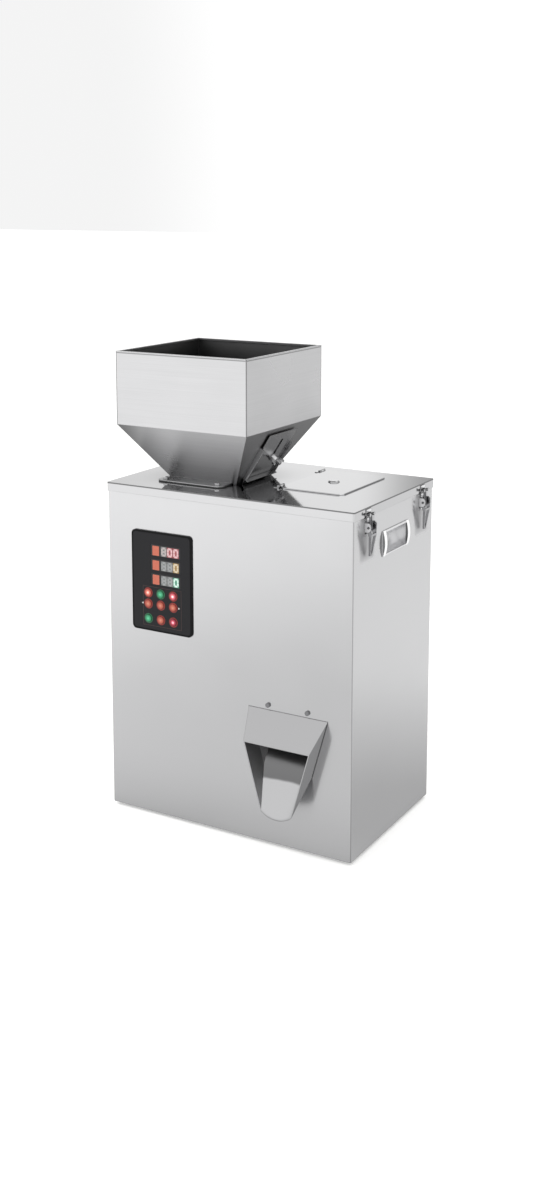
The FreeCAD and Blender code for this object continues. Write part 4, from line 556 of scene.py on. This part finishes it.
FILM_BORDER = 0.0030
FILM_CORNER = 0.0050
FILM_SHEET = 0.00012
HOLE_MARGIN = 0.0003
HOLE_DEPTH = 0.01
ROUND = 48


def slab(name, low, high):
    """A block between two corners."""
    middle = [(a + b) / 2 for a, b in zip(low, high)]
    piece = start(bpy.ops.mesh.primitive_cube_add, name, size=1.0, location=middle)
    piece.scale = [b - a for a, b in zip(low, high)]
    bpy.ops.object.transform_apply(location=True, rotation=True, scale=True)
    return piece


def bevel_along(piece, axis, width, segments):
    """Bevels the edges that run along an axis."""
    bpy.ops.object.mode_set(mode="EDIT")
    bpy.ops.mesh.select_mode(type="EDGE")
    bpy.ops.mesh.select_all(action="DESELECT")
    bpy.ops.object.mode_set(mode="OBJECT")
    points = piece.data.vertices
    for edge in piece.data.edges:
        run = (points[edge.vertices[1]].co - points[edge.vertices[0]].co).normalized()
        edge.select = abs(abs(run[axis]) - 1.0) < 0.001
    bpy.ops.object.mode_set(mode="EDIT")
    bpy.ops.mesh.bevel(offset=width, offset_type="OFFSET", segments=segments, affect="EDGES")
    bpy.ops.object.mode_set(mode="OBJECT")


def pick(*pieces):
    """Selects pieces and makes the first one active."""
    bpy.ops.object.select_all(action="DESELECT")
    for piece in pieces:
        piece.select_set(True)
    bpy.context.view_layer.objects.active = pieces[0]


def joined(name, pieces):
    """Joins pieces into the first of them."""
    pick(*pieces)
    bpy.ops.object.join()
    pieces[0].name = name
    return pieces[0]


def cut_out(piece, cutter):
    """Takes the cutter's shape out of a piece."""
    pick(piece)
    tool = piece.modifiers.new("holes", "BOOLEAN")
    tool.operation = "DIFFERENCE"
    tool.solver = "EXACT"
    tool.object = cutter
    bpy.ops.object.modifier_apply(modifier=tool.name)
    bpy.data.objects.remove(cutter)


def settle(piece, body, slot, *materials):
    """Finishes a piece: sharp edges stay sharp, and it rides on its body."""
    pick(piece)
    bpy.ops.object.shade_smooth_by_angle(angle=math.radians(35.0))
    if materials:
        piece.data.materials.clear()
        for material in materials:
            piece.data.materials.append(material)
    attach(piece, body)


film = slab("keypad_film", (panel_low.x + FILM_BORDER, face_y - FILM_SHEET, panel_low.z + FILM_BORDER),
            (panel_high.x - FILM_BORDER, face_y, panel_high.z - FILM_BORDER))
bevel_along(film, 1, FILM_CORNER, 6)
cutters = []
key_spots = {}
for number in range(1, 10):
    low, high = map(Vector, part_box("key_" + str(number)))
    middle = Vector(((low.x + high.x) / 2, low.y, (low.z + high.z) / 2))
    key_spots[number] = middle
    key_radius = (high.x - low.x) / 2
    cutters.append(start(bpy.ops.mesh.primitive_cylinder_add, "key_hole", vertices=ROUND,
                         radius=key_radius + HOLE_MARGIN, depth=HOLE_DEPTH,
                         location=(middle.x, face_y, middle.z), rotation=UPRIGHT))
for row in (1, 2, 3):
    low, high = map(Vector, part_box("display_" + str(row)))
    cutters.append(slab("display_hole", (low.x - HOLE_MARGIN, face_y - HOLE_DEPTH / 2, low.z - HOLE_MARGIN),
                        (high.x + HOLE_MARGIN, face_y + HOLE_DEPTH / 2, high.z + HOLE_MARGIN)))
cut_out(film, joined("film_holes", cutters))
film_black = plastic("printed_black_film", "212123", roughness=0.42, speck_mm=0.5, spread=0.12, gloss=0.12)
settle(film, "frame", "keypad_black", film_black)

# Key halos
# Rings of translucent ink printed on the film around the keys, green around the second and the
# seventh key and red around the others.

HALO_WIDTH = 0.0021
HALO_LIFT = 0.00002
HALO_SHEET = 0.00006
GREEN_KEYS = (2, 7)
MOTTLE_SCALE = 700.0
MOTTLE_SPREAD = 0.25


def printed(name, tone, roughness=0.4, glow_tone=None, glow=0.0):
    """Screen-printed ink or lit acrylic: an even colour with a faint mottle, and a glow where it is lit."""
    material, tree = blank_material(name)
    coords = add(tree, "ShaderNodeTexCoord")
    mottle = noise(tree, coords.outputs["Object"], MOTTLE_SCALE)
    tint = ramp(tree, mottle, 0.0, 1.0, 1.0 - MOTTLE_SPREAD, 1.0 + MOTTLE_SPREAD)
    ink = add(tree, "ShaderNodeBsdfPrincipled", {
        "Base Color": shaded(tree, tone, tint), "Roughness": roughness})
    if glow_tone:
        ink.inputs["Emission Color"].default_value = linear(glow_tone)
        ink.inputs["Emission Strength"].default_value = glow
    add(tree, "ShaderNodeOutputMaterial", {"Surface": ink.outputs["BSDF"]})
    return material


red_halo = printed("dark_red_halo_ink", "7C2018", roughness=0.5)
green_halo = printed("dark_green_halo_ink", "145836", roughness=0.5)
halo_hole = key_radius + HOLE_MARGIN
halo_growth = (key_radius + HALO_WIDTH) / halo_hole
for number, middle in key_spots.items():
    halo = start(bpy.ops.mesh.primitive_circle_add, "key_halo_" + str(number), vertices=ROUND,
                 radius=halo_hole, fill_type="NOTHING",
                 location=(middle.x, face_y - FILM_SHEET - HALO_LIFT, middle.z), rotation=UPRIGHT)
    bpy.ops.object.transform_apply(location=True, rotation=True, scale=True)
    bpy.ops.object.mode_set(mode="EDIT")
    bpy.ops.mesh.select_all(action="SELECT")
    bpy.ops.mesh.extrude_edges_move()
    bpy.ops.transform.resize(value=(halo_growth, 1.0, halo_growth),
                             center_override=(middle.x, face_y, middle.z))
    bpy.ops.mesh.select_all(action="SELECT")
    bpy.ops.mesh.normals_make_consistent(inside=False)
    bpy.ops.object.mode_set(mode="OBJECT")
    sheet = halo.modifiers.new("ink", "SOLIDIFY")
    sheet.thickness = HALO_SHEET
    sheet.offset = 0.0
    bpy.ops.object.modifier_apply(modifier=sheet.name)
    settle(halo, "frame", "keypad_black", green_halo if number in GREEN_KEYS else red_halo)

# Key caps
# Round caps of translucent silicone that glow from behind. Each takes the place of its CAD key
# and rides on the key's body, and its face is domed in three small steps.

CAP_FACE = 0.0006
CAP_ROOT = 0.002
CAP_STEPS = ((0.0007, 0.00032), (0.0013, 0.00018), (0.0018, 0.0001))
CAP_MOTTLE_SCALE = 900.0
CAP_MOTTLE_REACH = 0.0012
CAP_HEART_REACH = (0.0012, 0.0038)
CAP_RIM_REACH = (0.0040, 0.0064)
CAP_ROUGHNESS = 0.38
CAP_GLOW = 0.05
CAP_GLOW_LIT = 0.14
LIT_KEYS = (1, 3, 9)
ORANGE = ("8E382E", "C0604F", "F0BDB0", "key_orange")
GREEN = ("0E5A38", "2A8A60", "4FB083", "key_green")
RED = ("802434", "C04E58", "FFD8DA", "key_red")
CORAL = ("823020", "A44E3A", "B87460", "key_coral")
CRIMSON = ("560C20", "A02038", "F8B0BC", "key_crimson")
KEY_TONES = {1: ORANGE, 2: GREEN, 3: RED, 4: CORAL, 5: CORAL, 6: CORAL, 7: GREEN, 8: CORAL, 9: CRIMSON}


def twin(piece, name, shift):
    """A copy with its own mesh, moved in its mesh."""
    copy = piece.copy()
    copy.data = piece.data.copy()
    copy.name = name
    copy.data.transform(Matrix.Translation(shift))
    bpy.context.scene.collection.objects.link(copy)
    return copy


def key_cap_material(name, rim, body, heart, middle, glow):
    """Translucent silicone lit from behind: darkest at its rim and lightest at its middle."""
    material, tree = blank_material(name)
    coords = add(tree, "ShaderNodeTexCoord")
    mottle = noise(tree, coords.outputs["Object"], CAP_MOTTLE_SCALE)
    away = maths(tree, "MULTIPLY_ADD", mottle, CAP_MOTTLE_REACH, distance(tree, coords, tuple(middle)))
    inner = blend(tree, step(tree, away, *CAP_HEART_REACH), linear(heart), linear(body))
    outer = blend(tree, step(tree, away, *CAP_RIM_REACH), inner, linear(rim))
    skin = add(tree, "ShaderNodeBsdfPrincipled", {
        "Base Color": outer, "Roughness": CAP_ROUGHNESS,
        "Emission Color": outer, "Emission Strength": glow})
    add(tree, "ShaderNodeOutputMaterial", {"Surface": skin.outputs["BSDF"]})
    return material


first = key_spots[1]
cap_front = first.y + CAP_FACE
cap_back = face_y + CAP_ROOT
cap = start(bpy.ops.mesh.primitive_cylinder_add, "key_cap", vertices=ROUND, radius=key_radius,
            depth=cap_back - cap_front, location=(first.x, (cap_back + cap_front) / 2, first.z),
            rotation=UPRIGHT)
bpy.ops.object.transform_apply(location=True, rotation=True, scale=True)
bpy.ops.object.mode_set(mode="EDIT")
bpy.ops.mesh.select_mode(type="FACE")
bpy.ops.mesh.select_all(action="DESELECT")
bpy.ops.object.mode_set(mode="OBJECT")
for face in cap.data.polygons:
    face.select = face.normal.y < -0.9
bpy.ops.object.mode_set(mode="EDIT")
for margin, lift in CAP_STEPS:
    bpy.ops.mesh.inset(thickness=margin, depth=0.0)
    bpy.ops.transform.translate(value=(0.0, -lift, 0.0))
bpy.ops.object.mode_set(mode="OBJECT")
for number, middle in key_spots.items():
    rim, body, heart, slot = KEY_TONES[number]
    key = twin(cap, "key_cap_" + str(number), middle - first)
    cap_glow = CAP_GLOW_LIT if number in LIT_KEYS else CAP_GLOW
    settle(key, "key_" + str(number), slot,
           key_cap_material("lit_silicone_key_" + str(number), rim, body, heart, middle, cap_glow))
    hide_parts("key_" + str(number))
bpy.data.objects.remove(cap)

# Digits
# Three digits in each display, each a moulded tile with a ring of six bars and a middle bar.
# The lit ones show a nought in their colour, and in the others all the bars are milky.

DIGIT_PITCH = 0.0111
DIGIT_WIDTH = 0.0092
DIGIT_HEIGHT = 0.0138
DIGIT_SHIFT = 0.0030
DIGIT_DROP = 0.0005
DIGIT_LIFT = 0.00022
STROKE = 0.0029
STROKE_POINT = 0.46
BAR_HALF_SHEET = 0.00006
BAR_GAP = 0.0002
TILE = (0.0105, 0.0152)
TILE_FACE = 0.00008
TILE_BACK = 0.0002
ROWS = {1: ("faint", "red", "red"), 2: ("grey", "grey", "amber"), 3: ("grey", "grey", "green")}
low, high = map(Vector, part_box("display_1"))
window_y = low.y
side_x = (DIGIT_WIDTH - STROKE) / 2
side_z = (DIGIT_HEIGHT - STROKE) / 4


def digit_bar(middle, length, upright):
    """One bar of a seven-segment digit, with pointed ends."""
    long, short = length / 2, STROKE / 2
    half = Vector((short, BAR_HALF_SHEET, long)) if upright else Vector((long, BAR_HALF_SHEET, short))
    bar = slab("digit_bar", middle - half, middle + half)
    bevel_along(bar, 1, STROKE * STROKE_POINT, 1)
    return bar


spot = Vector(((low.x + high.x) / 2 - DIGIT_SHIFT, window_y - DIGIT_LIFT,
               (low.z + high.z) / 2 - DIGIT_DROP))
tile = slab("digit_tile", spot - Vector((TILE[0] / 2, -TILE_FACE, TILE[1] / 2)),
            spot + Vector((TILE[0] / 2, TILE_BACK, TILE[1] / 2)))
bars = []
for level in (-2, 2):
    bars.append(digit_bar(spot + Vector((0.0, 0.0, level * side_z)), DIGIT_WIDTH - STROKE * 0.5, False))
for across in (-1, 1):
    for level in (-1, 1):
        bars.append(digit_bar(spot + Vector((across * side_x, 0.0, level * side_z)),
                              2 * side_z - BAR_GAP + STROKE * 0.5, True))
middle_bar = digit_bar(spot, DIGIT_WIDTH - STROKE * 1.3, False)
digit_parts = (tile, joined("digit_ring", bars), middle_bar)
grey_tile = printed("grey_digit_base", "6A6C6C")
milk = printed("milky_segment", "8E9090")
milk_bright = printed("milky_segment_lit_faintly", "ABA2A0")
red_tile = printed("red_digit_base", "8E4448")
amber_tile = printed("amber_digit_base", "8C6E38")
green_tile = printed("green_digit_base", "3C8268")
lit_green = printed("lit_green_segment", "C4DAD0", glow_tone="C8FFE8", glow=0.06)
skins = {"grey": (grey_tile, milk, milk), "faint": (grey_tile, milk_bright, milk_bright),
         "red": (red_tile, printed("lit_red_segment", "D4AEB0"), red_tile),
         "amber": (amber_tile, printed("lit_amber_segment", "CCBEA4"), amber_tile),
         "green": (green_tile, lit_green, green_tile)}
row_spots = {}
for row, colours in ROWS.items():
    low, high = map(Vector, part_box("display_" + str(row)))
    row_spots[row] = Vector((low.x, window_y, (low.z + high.z) / 2 - DIGIT_DROP))
    for column, colour in enumerate(colours):
        shift = Vector((column * DIGIT_PITCH, 0.0, row_spots[row].z - spot.z))
        name = "digit_" + str(row) + "_" + str(column + 1)
        copies = []
        for part, skin in zip(digit_parts, skins[colour]):
            copy = twin(part, name + "_part", shift)
            copy.data.materials.clear()
            copy.data.materials.append(skin)
            copies.append(copy)
        settle(joined(name, copies), "frame", "display_glass")
for part in digit_parts:
    bpy.data.objects.remove(part)

# Display labels
# A blank plate of orange ink with rounded corners, left of the digits in each display.

LABEL = (0.0122, 0.0152)
LABEL_INSET = 0.0030
LABEL_SHEET = 0.0002
LABEL_CORNER = 0.0008

label_ink = printed("orange_label_ink", "AE5842", roughness=0.45)
for row, place in row_spots.items():
    left = place.x + LABEL_INSET
    label = slab("label_" + str(row), (left, window_y - LABEL_SHEET, place.z - LABEL[1] / 2),
                 (left + LABEL[0], window_y, place.z + LABEL[1] / 2))
    bevel_along(label, 1, LABEL_CORNER, 3)
    settle(label, "frame", "display_glass", label_ink)

# Outline and arrows
# A thin faint line printed around the keys, and a white arrow beside the fourth and the
# sixth key.

OUTLINE_X = (0.0209, 0.0912)
OUTLINE_Z = (0.0090, 0.0710)
OUTLINE_WIDTH = 0.0004
OUTLINE_SHEET = 0.00005
ARROW_SIZE = 0.0018
ARROW_SHEET = 0.00006
ARROW_OFFSET = 0.0105

ink_y = face_y - FILM_SHEET
left, right = [panel_low.x + x for x in OUTLINE_X]
bottom, top = [panel_low.z + z for z in OUTLINE_Z]
outer_bottom, outer_top = bottom - OUTLINE_WIDTH, top + OUTLINE_WIDTH
sides = []
for low_x, high_x, low_z, high_z in ((left, right, outer_bottom, bottom), (left, right, top, outer_top),
                                     (left - OUTLINE_WIDTH, left, outer_bottom, outer_top),
                                     (right, right + OUTLINE_WIDTH, outer_bottom, outer_top)):
    sides.append(slab("outline_side", (low_x, ink_y - OUTLINE_SHEET, low_z), (high_x, ink_y, high_z)))
settle(joined("key_outline", sides), "frame", "keypad_black",
       printed("faint_outline_ink", "46302C", roughness=0.5))
white_ink = printed("white_arrow_ink", "C8C8C6", roughness=0.5)
for name, number, way in (("arrow_left", 4, -1.0), ("arrow_right", 6, 1.0)):
    place = key_spots[number]
    arrow = start(bpy.ops.mesh.primitive_cylinder_add, name, vertices=3, radius=ARROW_SIZE,
                  depth=ARROW_SHEET,
                  location=(place.x + way * ARROW_OFFSET, ink_y - ARROW_SHEET / 2, place.z),
                  rotation=(math.radians(90.0), math.radians(90.0) * way, 0.0))
    bpy.ops.object.transform_apply(location=True, rotation=True, scale=True)
    settle(arrow, "frame", "keypad_black", white_ink)

# Lid
# Stainless sheet polished to a mirror and folded to a tray that fits over the shell.

LID_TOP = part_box("lid")[1][2]
LID_BEND = 0.0021
LID_BEND_BLUR = 0.0004
LID_BEND_REFLECTION_TONE = 0.30
LEVEL_FACE = 0.8


def lid_bend_reflection(tree, coords):
    """Painted reflection: a thin dark line along the bend of the top edge, where it mirrors the dark
    ceiling.
    """
    steep = maths(tree, "LESS_THAN", split(tree, coords, "Normal")[2], LEVEL_FACE)
    high = step(tree, split(tree, coords)[2], LID_TOP - LID_BEND - LID_BEND_BLUR,
                LID_TOP - LID_BEND + LID_BEND_BLUR)
    return factor_where(tree, times(tree, steep, high), LID_BEND_REFLECTION_TONE)


mirror = stainless("mirror_polished_stainless", "C3C3C4", roughness=0.07, grain_mm=8.0, grain_depth=0.004,
                   cloud=0.01, edge=0.2, edge_mm=0.8, shade=0.4, shade_mm=60.0, local=lid_bend_reflection)
finish_nodes(mirror, "lid")

# Access cover, its knob and hinges
# Polished sheet with a turned knob, on two hinges. The sheet's sides carry a painted highlight,
# and the front hinge is darker than the one at the back.

CUT_EDGE_TURN = (0.4, 0.7)
SIDE_HIGHLIGHT_TONE = 1.6
HINGE_MIDDLE = (0.0, 0.06)
HINGE_FRONT_TONE = 0.6


def cover_side_highlight(tree, coords):
    """Painted highlight: the cut edges on the left and right sides are made lighter."""
    aside = maths(tree, "ABSOLUTE", split(tree, coords, "Normal")[0])
    return step(tree, aside, *CUT_EDGE_TURN, 1.0, SIDE_HIGHLIGHT_TONE)


def front_hinge_darker(tree, coords):
    """The hinge at the front edge is darker than the one at the back."""
    return step(tree, split(tree, coords)[1], *HINGE_MIDDLE, HINGE_FRONT_TONE, 1.0)


cover_steel = stainless("polished_cover_stainless", "C6C6C7", roughness=0.07, grain_mm=8.0,
                        grain_depth=0.004, cloud=0.01, edge=0.1, edge_mm=0.15, shade=0.2, shade_mm=3.0,
                        local=cover_side_highlight)
knob_steel = stainless("turned_knob_stainless", "CCCCCD", roughness=0.12, grain_mm=8.0, grain_depth=0.004,
                       cloud=0.01, edge=0.2, edge_mm=0.3, shade=0.2, shade_mm=3.0)
hinge_steel = stainless("hinge_stainless", "CCCCCD", roughness=0.16, grain_mm=8.0, grain_depth=0.004,
                        cloud=0.01, edge=0.1, edge_mm=0.2, shade=0.2, shade_mm=3.0, local=front_hinge_darker)
finish_nodes(cover_steel, "access_cover")
finish_nodes(knob_steel, "cover_knob")
finish_nodes(hinge_steel, "cover_hinge")

# Hopper, its gaskets and bolts
# Brushed stainless sheet, folded to a square box over a funnel and welded at the corners. It is
# bolted through two flanges with neoprene gaskets on the lid.

HOPPER_BOX = 0.115
HOPPER_DARK_DROP = 0.045
HOPPER_INSIDE_SHADE = (0.17, 0.32)
HOPPER_RIM = 0.0006
HOPPER_HALF_SHEET = 0.0009
HOPPER_HEM = (0.0034, 0.0016)
HOPPER_CORNER_LINE = 0.0014
HOPPER_LINE_SHADE = 0.5
HOPPER_SIDE_TURN = (0.4, 0.9)
HOPPER_SIDE_SHADE = 0.93
SLOPE_SIDE_TURN = (0.4, 0.6)
SLOPE_SIDE_SHADE = 0.75
SLOPE_LEFT_REACH = (-0.01, 0.10)
SLOPE_LEFT_SHADE = 0.25
OUTLET_DROP = 0.042
OUTLET_Z = LID_TOP - OUTLET_DROP
OUTLET_HALF = (0.033, 0.0225)
hopper_low, hopper_high = map(Vector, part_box("hopper"))


def part_of(tree, value, low, high):
    """1 where the value lies between two limits, else 0."""
    return times(tree, maths(tree, "GREATER_THAN", value, low), maths(tree, "LESS_THAN", value, high))


def hopper_sheet_shade(tree, coords):
    """Painted shade on the hopper. Inside, the walls are painted dark, darker further down. The two side
    sheets are painted a little darker than the front and the back. Thin dark lines of painted shade run
    along the hem and the corners, and the slopes are painted darker at the sides and towards the left."""
    place = split(tree, coords)
    box_foot = hopper_high.z - HOPPER_BOX
    gaps = []
    for axis in (0, 1):
        middle = (hopper_low[axis] + hopper_high[axis]) / 2
        wall = ramp(tree, place[2], OUTLET_Z, box_foot, OUTLET_HALF[axis], hopper_high[axis] - middle)
        gaps.append(maths(tree, "SUBTRACT", wall, apart(tree, place[axis], middle)))
    least = maths(tree, "MINIMUM", *gaps)
    below_rim = maths(tree, "LESS_THAN", place[2], hopper_high.z - HOPPER_RIM)
    inside = times(tree, below_rim, maths(tree, "GREATER_THAN", least, HOPPER_HALF_SHEET))
    outside = maths(tree, "LESS_THAN", least, HOPPER_HALF_SHEET)
    deep = ramp(tree, place[2], hopper_high.z - HOPPER_DARK_DROP, hopper_high.z, *HOPPER_INSIDE_SHADE)
    aside = maths(tree, "ABSOLUTE", split(tree, coords, "Normal")[0])
    hem = part_of(tree, place[2], hopper_high.z - HOPPER_HEM[0], hopper_high.z - HOPPER_HEM[1])
    corners = near_corner(tree, place, hopper_low, hopper_high, HOPPER_CORNER_LINE)
    line = times(tree, maths(tree, "MAXIMUM", hem, corners), outside)
    slope = maths(tree, "LESS_THAN", place[2], box_foot)
    side_slope = times(tree, slope, step(tree, aside, *SLOPE_SIDE_TURN))
    left = step(tree, place[0], hopper_low.x + SLOPE_LEFT_REACH[0], hopper_low.x + SLOPE_LEFT_REACH[1],
                SLOPE_LEFT_SHADE, 1.0)
    return times(tree, factor_where(tree, inside, deep),
                 step(tree, aside, *HOPPER_SIDE_TURN, 1.0, HOPPER_SIDE_SHADE),
                 factor_where(tree, line, HOPPER_LINE_SHADE),
                 factor_where(tree, side_slope, SLOPE_SIDE_SHADE),
                 factor_where(tree, slope, left))


brushed = stainless("brushed_hopper_stainless", "C8C8C9", roughness=0.30, anisotropy=0.75, grain_mm=0.9,
                    cloud=0.10, edge_mm=1.2, shade=0.25, shade_mm=160.0, local=hopper_sheet_shade)
finish_nodes(brushed, "hopper")
finish_nodes(plastic("black_neoprene", "242425", roughness=0.6), "hopper_gaskets")
finish_nodes(polished, "hopper_bolts")

# Gate
# A slotted plate of brushed sheet in a folded guide on the right slope, with a wing nut.

gate_steel = stainless("gate_stainless", "B4B4B5", roughness=0.2, anisotropy=0.5, grain_mm=0.7, cloud=0.06,
                       edge=0.7, edge_mm=1.0, shade=0.6, shade_mm=30.0)
finish_nodes(gate_steel, "gate_guide", "gate_plate")
finish_nodes(polished, "gate_wing_nut")

# Toggle latches
# Pressed bases and keepers, a lever and a bent wire bail on each, turning on pins, all of steel. The steel
# is
# painted in lit and shaded tones: light on the bases and keepers as a painted highlight, and dark on the
# levers, bails and pins as painted shade. Two latches sit on each side wall.

lit_pressing = stainless("latch_plate_steel", "E4E4E5", roughness=0.16, grain_depth=0.006, cloud=0.02,
                     edge=0.85, edge_mm=1.5, shade=0.7, shade_mm=7.0)
shaded_wire = stainless("latch_wire_steel", "6C6C6E", roughness=0.18, grain_depth=0.006, cloud=0.02, edge_mm=0.4,
                 shade=0.6, shade_mm=6.0)
shaded_lever_steel = stainless("latch_lever_steel", "A2A2A4", roughness=0.18, grain_depth=0.006, cloud=0.02,
                        edge=0.8, edge_mm=1.0, shade=0.8, shade_mm=7.0)
finish_nodes(lit_pressing, "latch_bases", "latch_keepers")
finish_nodes(shaded_wire, "latch_pins")
for station in ("right_front", "right_rear", "left_front", "left_rear"):
    finish_nodes(shaded_wire, "latch_bail_" + station)
    finish_nodes(shaded_lever_steel, "latch_lever_" + station)

# Flush handles
# A pressed dish with a proud rim in each side wall. The rim carries a painted highlight, and its flank to
# the front painted shade.

HANDLE_PROUD = (0.0002, 0.0010)
HANDLE_RIM = 0.0085
HANDLE_RIM_BLUR = 0.001
HANDLE_RIM_HIGHLIGHT = 1.55
FLANK_TURN = (-0.25, -0.6)
FLANK_SHADE = 0.25
handle_low, handle_high = map(Vector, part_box("handle_right"))


def handle_rim_highlight(tree, coords):
    """Painted highlight on the rims at both ends, which stand proud of the wall, and painted shade on their
    flank to the front.
    """
    place = split(tree, coords)
    out = maths(tree, "ABSOLUTE", place[0])
    proud = step(tree, out, shell_high.x + HANDLE_PROUD[0], shell_high.x + HANDLE_PROUD[1])
    middle = (handle_low.y + handle_high.y) / 2
    reach = handle_high.y - middle - HANDLE_RIM
    end = step(tree, apart(tree, place[1], middle), reach, reach + HANDLE_RIM_BLUR)
    flank = step(tree, split(tree, coords, "Normal")[1], *FLANK_TURN, 1.0, FLANK_SHADE)
    return times(tree, factor_where(tree, times(tree, proud, end), HANDLE_RIM_HIGHLIGHT),
                 factor_where(tree, proud, flank))


handle_steel = stainless("pressed_handle_stainless", "DCDCDD", roughness=0.26, grain_mm=4.0,
                         grain_depth=0.006, cloud=0.02, edge=0.0, edge_mm=0.5, shade=0.1, shade_mm=9.0,
                         local=handle_rim_highlight)
finish_nodes(handle_steel, "handle_left", "handle_right")
